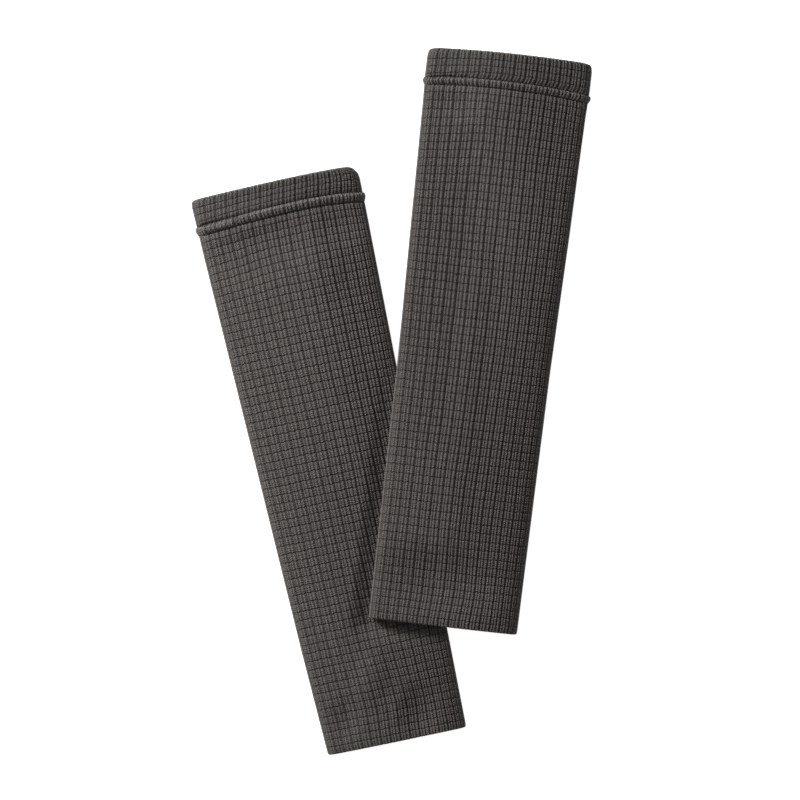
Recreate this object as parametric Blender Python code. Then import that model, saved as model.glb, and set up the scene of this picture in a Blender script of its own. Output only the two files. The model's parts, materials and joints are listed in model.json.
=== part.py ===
"""A pair of knitted calf sleeves, laid flat with the right one lapping over part of the left one.

Each sleeve is a waffle-knit tube whose two panels lie on each other. From the foot up it has an open
body, a rolled tuck that stands proud all round, and a turned hem of double cloth. Lengths are in
metres. X runs across the pair, Y runs up it from the feet of the sleeves, and Z is up off the table.

A point on a sleeve is given by "across", which runs from -1 at its left fold to 1 at its right fold,
and by "along", its distance from the foot. Its sink is how far it lies under the cloth's outer skin.
"""
import math
from collections import namedtuple

import bmesh
import bpy
from mathutils import Vector

# Sizes that both sleeves share
SEAM_GAP = 0.0003
BODY_WALL = 0.0028
HEM_WALL = 0.0032
PANEL_GAP = 0.0003

# Side folds: the upper panel rounds over further than the one underneath
UPPER_ROUND = 0.0060
UNDER_ROUND = 0.0030
LEAST_ROUND = 0.0010
SHOULDER = 0.0014
FOOT_CORNER = 0.0024
UNDER_ARC_STEPS = (0.0, 0.3, 1.0)

# Waffle knit: cells in columns and rows, with a groove round each
KNIT_COLUMNS = 15
BODY_ROWS = 65
HEM_ROWS = 3
GROOVE_DEPTH = 0.0007
FOLD_CROWDING = 0.08
ROW_CROWDING = 0.022
CROWDING_POWER = 7

# Edges and seams: how far each edge is drawn in, and over what distance
FOOT_EDGE = 0.0005
SEAM_EDGE = 0.0005
TOP_EDGE = 0.0010
EDGE_REACH = 0.0009
TUCK_RISE = 0.0013

# The tuck's line sags towards the folds
SAG_POWER = 2.5
SAG_REACH = 0.045
TOP_SAG_SHARE = 0.45
FOOT_TILT_REACH = 0.060

# The lap: one sleeve rides up over the other, whose upper panel it presses flat from its corner up
LAY_GAP = 0.0003
DRAPE_REACH = 0.078
PRESS_X = -0.0010
PRESS_ALONG = 0.0787
PRESS_REACH = 0.014
PRESS_FOOT_REACH = 0.016

# Facets
INNER_STEPS = 12
TUCK_STEPS = (0.0, 0.16, 0.5, 0.84, 1.0)
CORNER_STEPS = (1.0, 0.5, 0.2)
SHARP_ANGLE = math.radians(15)

BODY_COLOR = (0.060, 0.054, 0.051)
TUCK_COLOR = (0.072, 0.065, 0.061)
HEM_COLOR = (0.063, 0.057, 0.053)

Width = namedtuple("Width", "along left right")
Pull = namedtuple("Pull", "across along wide tall slip_across slip_along")
Sleeve = namedtuple(
    "Sleeve",
    "name foot_x foot_y lean length hem_depth tuck_depth crown widths corner_left corner_right "
    "sag_left sag_right seam_tilt top_tilt foot_tilt pulls under_steps under_rows")
Piece = namedtuple("Piece", "name start end wall rows start_edge end_edge rise color")

LEFT = Sleeve(
    name="left", foot_x=0.0030, foot_y=0.0006, lean=math.radians(-12.44), length=0.3562,
    hem_depth=0.0153, tuck_depth=0.0063, crown=0.0024,
    widths=(
        Width(along=0.000, left=0.0441, right=0.0431),
        Width(along=0.068, left=0.0463, right=0.0449),
        Width(along=0.195, left=0.0494, right=0.0484),
        Width(along=0.300, left=0.0521, right=0.0510),
        Width(along=0.335, left=0.0529, right=0.0518),
        Width(along=0.356, left=0.0536, right=0.0521),
    ),
    corner_left=0.0028, corner_right=0.0070,
    sag_left=0.0012, sag_right=0.0035, seam_tilt=0.0012, top_tilt=0.0, foot_tilt=0.0006,
    pulls=(
        Pull(across=-1.0, along=0.310, wide=0.9, tall=0.050, slip_across=0.000, slip_along=-0.003),
        Pull(across=0.0, along=0.020, wide=1.1, tall=0.050, slip_across=0.002, slip_along=0.000),
        Pull(across=-0.2, along=0.280, wide=1.2, tall=0.090, slip_across=-0.001, slip_along=0.000),
    ),
    under_steps=4, under_rows=12)

RIGHT = Sleeve(
    name="right", foot_x=0.0313, foot_y=0.0718, lean=math.radians(6.70), length=0.3577,
    hem_depth=0.0174, tuck_depth=0.0052, crown=0.0014,
    widths=(
        Width(along=0.000, left=0.0469, right=0.0453),
        Width(along=0.060, left=0.0470, right=0.0459),
        Width(along=0.165, left=0.0477, right=0.0470),
        Width(along=0.250, left=0.0493, right=0.0490),
        Width(along=0.326, left=0.0507, right=0.0503),
        Width(along=0.342, left=0.0516, right=0.0511),
        Width(along=0.357, left=0.0517, right=0.0512),
    ),
    corner_left=0.0034, corner_right=0.0040,
    sag_left=0.0027, sag_right=0.0027, seam_tilt=0.0, top_tilt=0.0007, foot_tilt=0.0,
    pulls=(
        Pull(across=-1.0, along=0.300, wide=0.7, tall=0.060, slip_across=0.000, slip_along=-0.006),
        Pull(across=0.0, along=0.012, wide=1.1, tall=0.055, slip_across=0.0016, slip_along=-0.001),
        Pull(across=0.3, along=0.185, wide=1.1, tall=0.110, slip_across=0.0018, slip_along=0.000),
    ),
    under_steps=12, under_rows=26)


def clear_scene():
    """Remove whatever the new file holds."""
    for thing in list(bpy.data.objects):
        bpy.data.objects.remove(thing, do_unlink=True)


def ease(share):
    """Rise smoothly from 0 to 1 as share does."""
    share = min(max(share, 0.0), 1.0)
    return share * share * (3 - 2 * share)


def swell(distance):
    """A soft bump that is 1 at distance 0 and nothing from 1 outward."""
    return max(1 - distance * distance, 0.0) ** 2


def half_widths(sleeve, along):
    """The flat sleeve's reach to the left and right of its centre line, without its rounded corners."""
    rows = sleeve.widths
    along = min(max(along, rows[0].along), rows[-1].along)
    for low, high in zip(rows, rows[1:]):
        if along <= high.along:
            share = (along - low.along) / (high.along - low.along)
            return (low.left + share * (high.left - low.left), low.right + share * (high.right - low.right))


def corner_cut(radius, from_end):
    """How far a round corner of this radius draws the side in at a distance from the end."""
    if from_end >= radius:
        return 0.0
    return radius - math.sqrt(radius ** 2 - (radius - from_end) ** 2)


def sides(sleeve, along):
    """The sleeve's reach to its left and right folds, round corners and all."""
    left, right = half_widths(sleeve, along)
    foot_cut = corner_cut(FOOT_CORNER, along)
    left -= foot_cut + corner_cut(sleeve.corner_left, sleeve.length - along)
    right -= foot_cut + corner_cut(sleeve.corner_right, sleeve.length - along)
    return left, right


def pieces(sleeve):
    """A sleeve's three pieces, from the foot up, with a narrow gap at each seam."""
    hem_start = sleeve.length - sleeve.hem_depth
    tuck_end = hem_start - SEAM_GAP
    tuck_start = tuck_end - sleeve.tuck_depth
    body_end = tuck_start - SEAM_GAP
    return (
        Piece("body", 0.0, body_end, BODY_WALL, BODY_ROWS, FOOT_EDGE, SEAM_EDGE, 0.0, BODY_COLOR),
        Piece("tuck", tuck_start, tuck_end, BODY_WALL, 0, SEAM_EDGE, SEAM_EDGE, TUCK_RISE, TUCK_COLOR),
        Piece("hem", hem_start, sleeve.length, HEM_WALL, HEM_ROWS, SEAM_EDGE, TOP_EDGE, 0.0, HEM_COLOR),
    )


def slant(sleeve, across, along):
    """How far a place is shifted along: the tuck's line sags towards the folds, and the ends may tilt."""
    sag = (sleeve.sag_left if across < 0 else sleeve.sag_right) * abs(across) ** SAG_POWER
    hem_start = sleeve.length - sleeve.hem_depth
    body_end = hem_start - sleeve.tuck_depth - 2 * SEAM_GAP
    up_hem = ease((along - hem_start) / sleeve.hem_depth)
    share = ease(1 - (body_end - along) / SAG_REACH) * (1 - (1 - TOP_SAG_SHARE) * up_hem)
    shift = (sleeve.seam_tilt * across - sag) * share + sleeve.top_tilt * across * up_hem
    return shift - sleeve.foot_tilt * across * ease(1 - along / FOOT_TILT_REACH)


def on_table(sleeve, x, y):
    """A place on a sleeve, in the pair's own plan before it is centred."""
    cos, sin = math.cos(sleeve.lean), math.sin(sleeve.lean)
    return sleeve.foot_x + x * cos + y * sin, sleeve.foot_y - x * sin + y * cos


def on_sleeve(sleeve, x, y):
    """The reverse of on_table."""
    cos, sin = math.cos(sleeve.lean), math.sin(sleeve.lean)
    x, y = x - sleeve.foot_x, y - sleeve.foot_y
    return x * cos - y * sin, x * sin + y * cos


def lap_lift(sleeve, x, y):
    """How far the left sleeve holds a point of the right one off the table."""
    if sleeve is LEFT:
        return 0.0
    below_x, below_along = on_sleeve(LEFT, *on_table(sleeve, x, y))
    left, right = half_widths(LEFT, below_along)
    half = (left + right) / 2
    across = (below_x - (right - left) / 2) / half
    rest = 2 * BODY_WALL + PANEL_GAP + LAY_GAP
    return rest * ease(1 - (across - 1) * half / DRAPE_REACH)


def swelling(sleeve, x, across, along):
    """How far the upper panel swells, which is less where the right sleeve lies on the left one."""
    height = sleeve.crown * (1 - across * across)
    if sleeve is RIGHT:
        return height
    turn = RIGHT.lean - LEFT.lean
    off_x, off_y = x - PRESS_X, along - PRESS_ALONG
    inward = off_x * math.cos(turn) - off_y * math.sin(turn)
    upward = off_x * math.sin(turn) + off_y * math.cos(turn)
    return height * (1 - ease(1 + inward / PRESS_REACH) * ease(1 + upward / PRESS_FOOT_REACH))


def cloth_point(sleeve, piece, across, along, sink, upper):
    """One point of a piece, in its sleeve's own frame, on its upper or under panel."""
    left, right = sides(sleeve, along)
    half = (left + right) / 2 - sink
    x = (right - left) / 2 + half * across
    fold_height = piece.wall + PANEL_GAP / 2
    reach = max((UPPER_ROUND if upper else UNDER_ROUND) - sink, LEAST_ROUND)
    over = max(abs(across) * half - (half - reach), 0.0) / reach
    arc = math.sqrt(max(1 - over * over, 0.0))
    if upper:
        z = fold_height + (fold_height - sink) * arc + swelling(sleeve, x, across, along)
    else:
        z = fold_height - (fold_height - max(sink, 0.0)) * arc
    y = along + slant(sleeve, across, along)
    return Vector((x, y, z + lap_lift(sleeve, x, y)))


def skin_sink(piece, along):
    """How far a piece's own skin lies in: drawn in at both edges, and raised in the middle of a tuck."""
    from_start, to_end = along - piece.start, piece.end - along
    drawn = piece.start_edge * max(1 - from_start / EDGE_REACH, 0.0)
    drawn += piece.end_edge * max(1 - to_end / EDGE_REACH, 0.0)
    rise = piece.rise * math.sin(math.pi * from_start / (piece.end - piece.start))
    return drawn - max(rise, 0.0)


def knit_place(sleeve, piece, column, row):
    """Where a crossing of the knit lies: cells crowd towards the edges, and hand-laid pulls shift them."""
    share = 2 * column / KNIT_COLUMNS - 1
    spread = share * (1 + FOLD_CROWDING) - FOLD_CROWDING * share ** CROWDING_POWER
    way = 2 * row / piece.rows - 1
    if piece.name == "body":
        way = way * (1 + ROW_CROWDING) - ROW_CROWDING * way ** CROWDING_POWER
    along = piece.start + (piece.end - piece.start) * (way + 1) / 2
    inside = 1 - share * share
    shift_across = shift_along = 0.0
    if 0 < row < piece.rows:
        for pull in sleeve.pulls:
            weight = swell((share - pull.across) / pull.wide) * swell((along - pull.along) / pull.tall)
            shift_across += weight * inside * pull.slip_across
            shift_along += weight * pull.slip_along
    along += shift_along
    left, right = sides(sleeve, along)
    half = (left + right) / 2
    return spread * (half - SHOULDER) / half + shift_across / half, along


def joined(bm, chain_a, keys_a, chain_b, keys_b):
    """Close the strip between two rows of points that run the same way but not in step."""
    a = b = 0
    while a < len(chain_a) - 1 or b < len(chain_b) - 1:
        last_b = b == len(chain_b) - 1
        if last_b or (a < len(chain_a) - 1 and keys_a[a + 1] <= keys_b[b + 1]):
            bm.faces.new((chain_a[a], chain_a[a + 1], chain_b[b]))
            a += 1
        else:
            bm.faces.new((chain_a[a], chain_b[b + 1], chain_b[b]))
            b += 1


def quads(bm, rows):
    """Fill a regular grid of points with faces."""
    for low, high in zip(rows, rows[1:]):
        for side in range(len(low) - 1):
            bm.faces.new((low[side], low[side + 1], high[side + 1], high[side]))


def knit_panel(bm, sleeve, piece):
    """The upper panel's skin as waffle cells, each a low crest inside four grooves."""
    rows, keys = [], []
    for row in range(piece.rows + 1):
        points = []
        for column in range(KNIT_COLUMNS + 1):
            across, along = knit_place(sleeve, piece, column, row)
            groove = GROOVE_DEPTH if 0 < column < KNIT_COLUMNS else 0.0
            sink = skin_sink(piece, along) + groove
            points.append(bm.verts.new(cloth_point(sleeve, piece, across, along, sink, True)))
            if column in (0, KNIT_COLUMNS):
                keys.append(along)
        rows.append(points)
    for row in range(piece.rows):
        for column in range(KNIT_COLUMNS):
            across, along = knit_place(sleeve, piece, column + 0.5, row + 0.5)
            crest = bm.verts.new(cloth_point(sleeve, piece, across, along, 0.0, True))
            corners = (rows[row][column], rows[row][column + 1],
                       rows[row + 1][column + 1], rows[row + 1][column])
            for corner in range(4):
                bm.faces.new((corners[corner], corners[(corner + 1) % 4], crest))
    return rows, keys[0::2], keys[1::2]


def roll_panel(bm, sleeve, piece, stations):
    """The upper side of the rolled tuck, with the knit's columns running over it as low ribs."""
    rows = []
    for along in stations:
        left, right = sides(sleeve, along)
        half = (left + right) / 2
        points = []
        for step in range(2 * KNIT_COLUMNS + 1):
            share = step / KNIT_COLUMNS - 1
            spread = share * (1 + FOLD_CROWDING) - FOLD_CROWDING * share ** CROWDING_POWER
            across = spread * (half - SHOULDER) / half
            groove = GROOVE_DEPTH / 2 if step % 2 == 0 and abs(share) < 1 else 0.0
            sink = skin_sink(piece, along) + groove
            points.append(bm.verts.new(cloth_point(sleeve, piece, across, along, sink, True)))
        rows.append(points)
    quads(bm, rows)
    return rows, list(stations), list(stations)


def stations_along(sleeve, piece):
    """The rows of the sides, the under panel and the inside, closer together near a piece's ends."""
    if piece.rise:
        return [piece.start + (piece.end - piece.start) * share for share in TUCK_STEPS]
    stations = [piece.start, piece.start + EDGE_REACH]
    if piece.start == 0.0:
        stations.append(FOOT_CORNER)
    corner = max(sleeve.corner_left, sleeve.corner_right) if piece.end == sleeve.length else EDGE_REACH
    steps = sleeve.under_rows if piece.name == "body" else 1
    first, last = stations[-1], piece.end - corner
    stations += [first + (last - first) * step / steps for step in range(1, steps)]
    if corner > EDGE_REACH:
        stations += [piece.end - corner * step for step in CORNER_STEPS]
    else:
        stations.append(piece.end - EDGE_REACH)
    return stations + [piece.end]


def under_places(sleeve, along):
    """Places across the under panel, from the right fold to the left: two arcs and a flat between them."""
    left, right = sides(sleeve, along)
    half = (left + right) / 2
    arc = [1 - UNDER_ROUND * step / half for step in UNDER_ARC_STEPS]
    flat = arc[-1]
    middle = [flat * (1 - 2 * step / sleeve.under_steps) for step in range(1, sleeve.under_steps)]
    return arc + middle + [-place for place in reversed(arc)]


def inner_places():
    """Places across the inside, closer together beside the folds."""
    return [math.sin(math.pi / 2 * (1 - 2 * step / INNER_STEPS)) for step in range(INNER_STEPS + 1)]


def outer_under(bm, sleeve, piece, stations):
    """The skin of both folds and the under panel, flat where it rests on the table."""
    rows = []
    for along in stations:
        sink = skin_sink(piece, along)
        places = under_places(sleeve, along)
        points = [cloth_point(sleeve, piece, across, along, sink, False) for across in places]
        rows.append([bm.verts.new(point) for point in points])
    quads(bm, rows)
    return rows


def inside(bm, sleeve, piece, stations):
    """The plain inner faces of the two panels, joined at both folds."""
    places = inner_places()
    upper, under = [], []
    for along in stations:
        top = [cloth_point(sleeve, piece, across, along, piece.wall, True) for across in places]
        low = [cloth_point(sleeve, piece, across, along, piece.wall, False) for across in places[1:-1]]
        top, low = [bm.verts.new(point) for point in top], [bm.verts.new(point) for point in low]
        upper.append(top)
        under.append([top[0]] + low + [top[-1]])
    quads(bm, upper)
    quads(bm, under)
    return upper, under, places


def tube_mesh(sleeve, piece):
    """One open, flattened ring of cloth as a closed solid wall."""
    bm = bmesh.new()
    stations = stations_along(sleeve, piece)
    if piece.rows:
        panel, left_keys, right_keys = knit_panel(bm, sleeve, piece)
    else:
        panel, left_keys, right_keys = roll_panel(bm, sleeve, piece, stations)
    under = outer_under(bm, sleeve, piece, stations)
    joined(bm, [row[-1] for row in panel], right_keys, [row[0] for row in under], stations)
    joined(bm, [row[0] for row in panel], left_keys, [row[-1] for row in under], stations)

    inner_upper, inner_under, places = inside(bm, sleeve, piece, stations)
    inner_keys = [-place for place in places]
    for end in (0, -1):
        over = [under[end][0]] + panel[end][::-1] + [under[end][-1]]
        over_keys = [2 * step / (len(over) - 1) - 1 for step in range(len(over))]
        joined(bm, over, over_keys, inner_upper[end], inner_keys)
        under_keys = [-place for place in under_places(sleeve, stations[end])]
        joined(bm, under[end], under_keys, inner_under[end], inner_keys)
    bmesh.ops.recalc_face_normals(bm, faces=bm.faces)
    bmesh.ops.triangulate(bm, faces=bm.faces)
    mesh = bpy.data.meshes.new(f"{sleeve.name}_{piece.name}")
    bm.to_mesh(mesh)
    bm.free()
    mesh.shade_smooth()
    mesh.set_sharp_from_angle(angle=SHARP_ANGLE)
    return mesh


def knit_material(name, color):
    """Soft, matt yarn in one colour."""
    material = bpy.data.materials.new(name)
    material.use_nodes = True
    shader = material.node_tree.nodes["Principled BSDF"]
    shader.inputs["Base Color"].default_value = (*color, 1.0)
    shader.inputs["Roughness"].default_value = 0.92
    shader.inputs["Metallic"].default_value = 0.0
    shader.inputs["Sheen Weight"].default_value = 0.25
    return material


def build_sleeve(sleeve):
    """One sleeve: an empty at the middle of its foot carries its body, tuck and hem."""
    foot = bpy.data.objects.new(f"{sleeve.name}_sleeve", None)
    foot.location = (sleeve.foot_x, sleeve.foot_y, 0.0)
    foot.rotation_euler = (0.0, 0.0, -sleeve.lean)
    bpy.context.collection.objects.link(foot)
    for piece in pieces(sleeve):
        mesh = tube_mesh(sleeve, piece)
        mesh.materials.append(knit_material(f"{sleeve.name}_{piece.name}_knit", piece.color))
        part = bpy.data.objects.new(mesh.name, mesh)
        part.parent = foot
        bpy.context.collection.objects.link(part)
    return foot


def centre_pair(feet):
    """Slide both sleeves together so that the pair is centred on the origin."""
    bpy.context.view_layer.update()
    corners = [part.matrix_world @ vertex.co for foot in feet for part in foot.children
               for vertex in part.data.vertices]
    middle_x = (min(c.x for c in corners) + max(c.x for c in corners)) / 2
    middle_y = (min(c.y for c in corners) + max(c.y for c in corners)) / 2
    for foot in feet:
        foot.location.x -= middle_x
        foot.location.y -= middle_y


def main():
    """Lay out the pair."""
    clear_scene()
    centre_pair([build_sleeve(LEFT), build_sleeve(RIGHT)])


main()
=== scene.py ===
"""The looks of a pair of waffle-knit calf sleeves, laid flat with the right one lapping over the left.

Each sleeve is a knitted tube: an open body, a rolled tuck, and a turned hem. The knit is made flat by
Geometry Nodes, one cell repeated over columns and rows, and every flat piece is then laid round its
sleeve's form. Lengths are in metres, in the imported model's own frame.

A point on a sleeve is given by "across", from -1 at its left fold to 1 at its right fold, by "along",
its distance from the foot, and by "sink", how deep it lies under the cloth's outer skin. A point of the
flat knit is given by its "ring" column, which counts all round the tube, and its "row".
"""
import json
import logging
import math
from dataclasses import dataclass, field
from enum import Enum

import bmesh
import bpy
import numpy as np
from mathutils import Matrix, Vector

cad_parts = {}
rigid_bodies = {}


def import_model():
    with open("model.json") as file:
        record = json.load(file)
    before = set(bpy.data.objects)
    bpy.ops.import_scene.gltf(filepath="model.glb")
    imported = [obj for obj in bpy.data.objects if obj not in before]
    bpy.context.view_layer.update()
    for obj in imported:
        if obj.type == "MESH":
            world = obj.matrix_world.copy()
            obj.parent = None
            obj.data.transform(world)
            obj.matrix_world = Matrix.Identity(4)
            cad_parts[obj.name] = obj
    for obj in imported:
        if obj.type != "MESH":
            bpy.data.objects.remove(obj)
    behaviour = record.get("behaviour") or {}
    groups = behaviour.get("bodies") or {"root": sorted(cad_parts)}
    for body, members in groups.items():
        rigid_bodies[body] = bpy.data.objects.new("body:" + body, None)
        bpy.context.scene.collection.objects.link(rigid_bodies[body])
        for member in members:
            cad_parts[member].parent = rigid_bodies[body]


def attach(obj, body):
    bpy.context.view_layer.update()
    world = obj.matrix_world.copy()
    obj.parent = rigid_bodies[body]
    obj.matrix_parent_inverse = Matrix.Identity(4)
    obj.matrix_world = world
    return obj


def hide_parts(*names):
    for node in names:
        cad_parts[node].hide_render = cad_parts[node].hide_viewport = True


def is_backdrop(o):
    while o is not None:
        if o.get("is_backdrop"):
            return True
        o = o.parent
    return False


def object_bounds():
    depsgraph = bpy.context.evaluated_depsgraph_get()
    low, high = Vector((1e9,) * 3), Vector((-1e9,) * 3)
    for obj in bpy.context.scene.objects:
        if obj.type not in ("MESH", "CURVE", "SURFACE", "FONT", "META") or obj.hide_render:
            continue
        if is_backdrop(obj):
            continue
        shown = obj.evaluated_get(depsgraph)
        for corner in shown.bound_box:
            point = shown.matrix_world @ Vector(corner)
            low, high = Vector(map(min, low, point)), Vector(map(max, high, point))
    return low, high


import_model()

log = logging.getLogger("calf_sleeves")

# Walls and depths that both sleeves share
BODY_WALL = 0.0028
HEM_WALL = 0.0032
PANEL_GAP = 0.0003
SHOULDER_CROWN = 0.0006
SHOULDER_POWER = 6
SEAM_LAP = 0.0002
FOOT_SINK = 0.0004

# Side folds: the upper panel rounds over further than the one underneath
UPPER_ROUND = 0.0060
UNDER_ROUND = 0.0030
LEAST_ROUND = 0.0010
SHOULDER = 0.0014
FOOT_CORNER = 0.0024
UPPER_SHARE_OF_FOLD = 1 / 3

# The knit's gauge, and how its columns and rows are spread over a panel
CELL_WIDE = 0.0067
CELL_LONG = 0.0052
FOLD_CROWDING = 0.08
ROW_CROWDING = 0.022
CROWDING_POWER = 7
LONG_PIECE_ROWS = 20
CORNER_POWER = 3
PULL_FADE = 12

# How the knit's relief dies away towards the folds and the ends, and how much painted shade an open
# edge's lip and the plain inside get
FOLD_RELIEF = 0.15
CALM_COLUMNS = 0.5
CALM_ROWS = 0.5
EDGE_POWER = 1.5
LIP_BARS = 0.95
INSIDE_SHADE = 0.7
LIP_GROOVE_SHADE = 0.35
LIP_TONE = 0.5

# How the tuck's line sags towards the folds, and how far the foot's tilt reaches
SAG_POWER = 2.5
SAG_REACH = 0.045
FOOT_TILT_REACH = 0.060

# The lap, where one sleeve rides up over the other
LAY_GAP = 0.0003
DRAPE_REACH = 0.078

# Places that share a point of this grid, in parts of a column and of a row, are welded
COLUMN_GRID = 180
ROW_GRID = 1000
ROUNDING = 1e-6

Floats = np.ndarray


def ease(share: Floats) -> Floats:
    """Rise smoothly from 0 to 1 as share does."""
    share = np.clip(share, 0.0, 1.0)
    return share * share * (3 - 2 * share)


def swell(distance: Floats) -> Floats:
    """A soft bump that is 1 at distance 0 and nothing from 1 outward."""
    return np.maximum(1 - distance * distance, 0.0) ** 2


def put(name: str, data: bpy.types.ID) -> bpy.types.Object:
    """Make an object and put it in the scene.

    Args:
        name: The object's name.
        data: Its mesh, light or camera.

    Returns:
        The linked object.
    """
    thing = bpy.data.objects.new(name, data)
    bpy.context.scene.collection.objects.link(thing)
    return thing


# The form that the cloth is laid on


@dataclass(frozen=True)
class Width:
    """How far the flat sleeve reaches to each side of its centre line, at one distance from the foot."""

    along: float
    left: float
    right: float


@dataclass(frozen=True)
class Pull:
    """A place where the knit was dragged a little as the sleeve was laid down."""

    across: float
    along: float
    wide: float
    tall: float
    slip_across: float
    slip_along: float


@dataclass(frozen=True)
class Crease:
    """A soft ridge, or a trough where its height is below 0, in the upper panel.

    x and along place its middle, wide and tall are its reach before it is turned, and turn is in degrees.
    """

    x: float
    along: float
    wide: float
    tall: float
    turn: float
    height: float

    def rise(self, x: Floats, along: Floats) -> Floats:
        """How far it lifts the cloth.

        Args:
            x, along: Places in the sleeve's own plan.

        Returns:
            A height for each place.
        """
        turn = math.radians(self.turn)
        off_x, off_y = x - self.x, along - self.along
        wide = (off_x * math.cos(turn) + off_y * math.sin(turn)) / self.wide
        tall = (off_y * math.cos(turn) - off_x * math.sin(turn)) / self.tall
        return self.height * swell(np.hypot(wide, tall))


@dataclass(frozen=True)
class Lap:
    """The corner of a sleeve that lies on this one and presses it flat.

    x and along place its foot's corner, and turn is how far in degrees it leans beyond this sleeve.
    reach is how far the cloth takes to swell up again beside it, and foot_reach below its foot.
    """

    x: float
    along: float
    turn: float
    reach: float
    foot_reach: float

    def press(self, x: Floats, along: Floats) -> Floats:
        """How far the cloth is pressed flat.

        Args:
            x, along: Places in this sleeve's own plan.

        Returns:
            From 0 where it swells freely to 1 where it lies flat.
        """
        turn = math.radians(self.turn)
        off_x, off_y = x - self.x, along - self.along
        from_side = off_x * math.cos(turn) - off_y * math.sin(turn)
        from_foot = off_x * math.sin(turn) + off_y * math.cos(turn)
        return ease(1 + from_side / self.reach) * ease(1 + from_foot / self.foot_reach)


class Band(Enum):
    """The four runs of knit columns, in the order in which they go round a flat tube."""

    UPPER = "upper"
    RIGHT_FOLD = "right_fold"
    UNDER = "under"
    LEFT_FOLD = "left_fold"


@dataclass(frozen=True)
class BandGauge:
    """How many columns a band has, and how many facets go across each of its cells."""

    band: Band
    columns: int
    steps: int


RING = (
    BandGauge(Band.UPPER, 15, 12),
    BandGauge(Band.RIGHT_FOLD, 1, 9),
    BandGauge(Band.UNDER, 14, 5),
    BandGauge(Band.LEFT_FOLD, 1, 9),
)
COLUMNS = {gauge.band: gauge.columns for gauge in RING}
RING_COLUMNS = sum(COLUMNS.values())


def inward(ring: Floats) -> Floats:
    """How far into the upper panel a column lies, from 0 at a fold or beyond it to 1 a column away."""
    return np.clip(np.minimum(ring, COLUMNS[Band.UPPER] - ring), 0, 1)


@dataclass(frozen=True)
class Stretch:
    """The stretch of a sleeve that one piece covers, and how its skin is drawn in at both ends."""

    name: str
    start: float
    end: float
    wall: float
    rows: int
    start_sink: float
    end_sink: float
    edge_reach: float

    @property
    def length(self) -> float:
        """How much of the sleeve's length it covers."""
        return self.end - self.start

    def share(self, along: Floats) -> Floats:
        """How much of the stretch lies below a place, from 0 to 1."""
        return np.clip((along - self.start) / self.length, 0.0, 1.0)


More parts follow.
